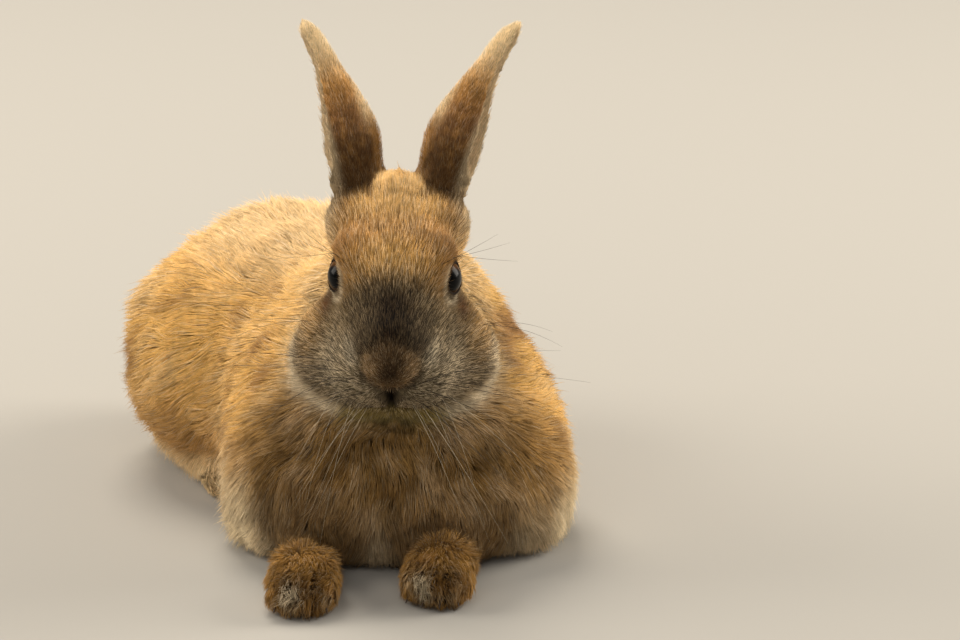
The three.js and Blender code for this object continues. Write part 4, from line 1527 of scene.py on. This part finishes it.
# %% [markdown]
# The coat is divided as a groomer would name it, which also keeps each piece light enough to handle. Each
# piece takes the triangles of the skin whose part, side and place along the backbone or the head say so.

# %% The pieces of the coat
triangle_part = belongs[corners].mean(axis=1).argmax(axis=1)
triangle_local = local[corners].mean(axis=1)
triangle_along = along[corners].mean(axis=1)
triangle_out = out[corners].mean(axis=1)


def of(kind):
    return triangle_part == KINDS.index(kind)


PIECES = {
    "coat_muzzle": (of("head") & (triangle_local[:, 1] < -24), "coat_dusky"),
    "coat_neck": (of("neck"), "coat_buff"),
    "coat_chest": (of("trunk") & (triangle_along < 4), "coat_fawn"),
    "coat_tail": (of("tail"), "coat_cream"),
}
for side, sign in SIDES.items():
    on_side = triangle_out * sign > 0
    on_head_side = triangle_local[:, 0] * sign > 0
    PIECES[f"coat_face_{side}"] = (of("head") & (triangle_local[:, 1] >= -24) & on_head_side, "coat_dusky")
    PIECES[f"coat_ear_{side}"] = (of("ear") & on_head_side, "coat_buff")
    shoulder = (triangle_along >= 4) & (triangle_along < 80)
    PIECES[f"coat_shoulder_{side}"] = (of("trunk") & shoulder & on_side, "coat_fawn")
    PIECES[f"coat_flank_{side}"] = (of("trunk") & (triangle_along >= 80) & on_side, "coat_fawn")
    PIECES[f"coat_foreleg_{side}"] = (of("foreleg") & on_side, "coat_buff")
    PIECES[f"coat_forepaw_{side}"] = (of("forepaw") & on_side, "coat_russet")
    PIECES[f"coat_hindleg_{side}"] = (of("hindleg") & on_side, "coat_fawn")
    PIECES[f"coat_hindfoot_{side}"] = (of("hindfoot") & on_side, "coat_cream")

coat_triangles = 0
for seed, (name, (where, slot)) in enumerate(PIECES.items(), start=101):
    coat_triangles += grow(name, where, seed)
print("the whole coat:", coat_triangles, "triangles")

# %% [markdown]
# Whiskers are stiff tapered hairs, rooted in rows on the pads of the upper lip, with a few over the eyes
# and on the cheeks. Each starts as a thin cone with four sides, made by an operator and cut into short
# lengths, and is then laid along its own curve. The upper ones are dark and stand out sideways. The lower
# ones are pale, and gravity bends them over the chest.

# %% Laying tapered hairs along curves
HAIR_SIDES = 4
HAIR_CUTS = 6
HAIR_TIP = 0.25

hair_bm = bmesh.new()
bmesh.ops.create_cone(hair_bm, cap_ends=True, segments=HAIR_SIDES, radius1=1.0, radius2=HAIR_TIP, depth=1.0)
long_edges = [edge for edge in hair_bm.edges if abs(edge.verts[0].co.z - edge.verts[1].co.z) > 0.5]
bmesh.ops.subdivide_edges(hair_bm, edges=long_edges, cuts=HAIR_CUTS)
straight_hair = mesh_of(hair_bm, "straight_hair")


def add_hair(bm, start, way, long, sag, radius):
    """Adds one tapered hair that leaves a place in a direction and bends away by sag. All in millimetres."""
    before = len(bm.verts)
    bm.from_mesh(straight_hair)
    bm.verts.ensure_lookup_table()
    way = unit(np.asarray(way, float))
    side_way = unit(np.cross(way, (0.3, 0.2, 1.0)))
    top = np.cross(side_way, way)
    for vertex in bm.verts[before:]:
        share = vertex.co.z + 0.5
        middle = start + long * (way * share + np.asarray(sag) * share ** 2)
        vertex.co = to_metres(middle + radius * (side_way * vertex.co.x + top * vertex.co.y))


def hair_piece(name, hairs, material):
    """Joins hairs, each told as (start, way, length, sag, radius), into one piece."""
    bm = bmesh.new()
    for hair in hairs:
        add_hair(bm, *hair)
    bmesh.ops.recalc_face_normals(bm, faces=bm.faces)
    mesh = mesh_of(bm, name)
    mesh.polygons.foreach_set("use_smooth", np.ones(len(mesh.polygons), bool))
    mesh.materials.append(material)
    piece = in_scene(name, mesh)
    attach(piece, "root")
    print(f"{name}: {len(hairs)} hairs, {len(mesh.polygons)} faces")


def horn_material(name, code, roughness):
    """A plain horny finish, a little uneven along the piece."""
    material, nodes, links, shader = material_with_shader(name, Roughness=roughness, Specular_IOR_Level=0.4)
    noise = noise_node(nodes, links, 300)
    tint = nodes.new("ShaderNodeValToRGB")
    tint.color_ramp.elements[0].color = (*paint(code) * 0.6, 1)
    tint.color_ramp.elements[1].color = (*paint(code), 1)
    links.new(noise.outputs["Fac"], tint.inputs["Fac"])
    links.new(tint.outputs["Color"], shader.inputs["Base Color"])
    return material


# %% [markdown]
# A whisker row runs back along the pad. From the top row to the bottom row the whiskers turn from level
# and sideways to steeply down, and their length and thickness are drawn anew for each.

# %% Whiskers and lashes
WHISKER_ROWS = 5
WHISKERS_IN_ROW = 4
WHISKER_RADIUS = 0.13
BROW_HAIRS = 3
BROW_HAIR_RADIUS = 0.10
CHEEK_HAIRS = 2
CHEEK_HAIR_RADIUS = 0.11
LASHES = 15
LASH_SPREAD = math.radians(75)
LASH_RADIUS = 0.09
whisker_rng = np.random.default_rng(77)
dark_hairs = []
pale_hairs = []
lashes = []


def on_skin(place):
    """The point of the skin nearest to a place."""
    return np.array(skin_tree.find_nearest(Vector(place))[0])


for side, sign in SIDES.items():
    for row in range(WHISKER_ROWS):
        down = row / (WHISKER_ROWS - 1)
        for column in range(WHISKERS_IN_ROW):
            back = column / (WHISKERS_IN_ROW - 1)
            root = in_head(sign * (9 + 9 * back), -48 + 12 * back, -11 - 15 * down - 2 * back)
            jitter = whisker_rng.normal(0, 0.12, 3)
            way = np.array([
                sign * mix(1.0, 0.55, down),
                mix(-0.15, -0.42, down) + 0.15 * back,
                mix(0.12, -0.80, down),
            ]) + jitter
            sag = np.array([0.0, 0.05, mix(-0.10, -0.20, down)]) + whisker_rng.normal(0, 0.07, 3)
            long = whisker_rng.uniform(26, 52) + 14 * back
            pale = whisker_rng.random() < smooth(down, 0.4, 1.0)
            radius = WHISKER_RADIUS * whisker_rng.uniform(0.7, 1.1) * (0.75 if pale else 1.0)
            (pale_hairs if pale else dark_hairs).append((on_skin(root), way, long, sag, radius))
    for index in range(BROW_HAIRS):
        root = in_head(sign * (20 + 2 * index), -3 + 4 * index, 13 - index)
        way = np.array([sign * 0.8, -0.3, 0.55 - 0.25 * index]) + whisker_rng.normal(0, 0.08, 3)
        dark_hairs.append((on_skin(root), way, whisker_rng.uniform(24, 34), (0, 0.1, 0.02), BROW_HAIR_RADIUS))
    for index in range(CHEEK_HAIRS):
        root = in_head(sign * (33 + 2 * index), -8 + 5 * index, -22 - 5 * index)
        way = np.array([sign * 0.95, -0.3, 0.35 - 0.2 * index])
        long = whisker_rng.uniform(34, 42)
        dark_hairs.append((on_skin(root), way, long, (0, 0.1, -0.35), CHEEK_HAIR_RADIUS))

    out_of_eye, front_of_eye, up_of_eye = eye_frame(side)
    for share in np.linspace(-1, 1, LASHES):
        lid_at = share * LASH_SPREAD
        off = math.asin((LID_OPENING_HEIGHT + 0.9) / EYE_RADIUS)
        radial = math.cos(lid_at) * up_of_eye + math.sin(lid_at) * front_of_eye
        way = math.cos(off) * out_of_eye + math.sin(off) * radial
        root = eye_centres[side] + (EYE_RADIUS + LID_RIM - 0.3) * way
        lash_way = 0.9 * out_of_eye + 0.55 * radial + whisker_rng.normal(0, 0.12, 3)
        lashes.append((root, lash_way, whisker_rng.uniform(3.5, 6.0), 0.25 * up_of_eye, LASH_RADIUS))

dark_hair_material = horn_material("whisker_dark", "#2a1f16", 0.4)
pale_hair_material = horn_material("whisker_pale", "#d8c9ac", 0.4)
hair_piece("whiskers_dark", dark_hairs, dark_hair_material)
hair_piece("whiskers_pale", pale_hairs, pale_hair_material)
hair_piece("lashes", lashes, dark_hair_material)

# %% [markdown]
# Each forepaw ends in four short curved claws of dark horn, half hidden in the fur of the toes. They are
# made in the same way as the whiskers, only thicker, and lie just clear of the floor.

# %% The claws
CLAW_LENGTH = 7.0
CLAW_RADIUS = 1.0
CLAW_HEIGHT = 5.0
CLAWS_ON_PAW = len(TOE_GAPS) + 1

claw_material = horn_material("claw_horn", "#4a3b2e", 0.35)
for side in SIDES:
    toes, wrist = FOREPAWS[side]
    forward = np.array([*unit(toes - wrist), 0])
    left = np.array([-forward[1], forward[0], 0])
    claws = []
    for out_by in TOE_WIDTH * (np.arange(CLAWS_ON_PAW) - (CLAWS_ON_PAW - 1) / 2):
        ahead = 3.5 - 0.045 * out_by ** 2
        base = np.array([*toes, CLAW_HEIGHT]) + forward * ahead + left * out_by
        way = forward + 0.02 * out_by * left + np.array([0, 0, -0.1])
        claws.append((base, way, CLAW_LENGTH, (0, 0, -0.22), CLAW_RADIUS))
    hair_piece(f"claws_{side}", claws, claw_material)
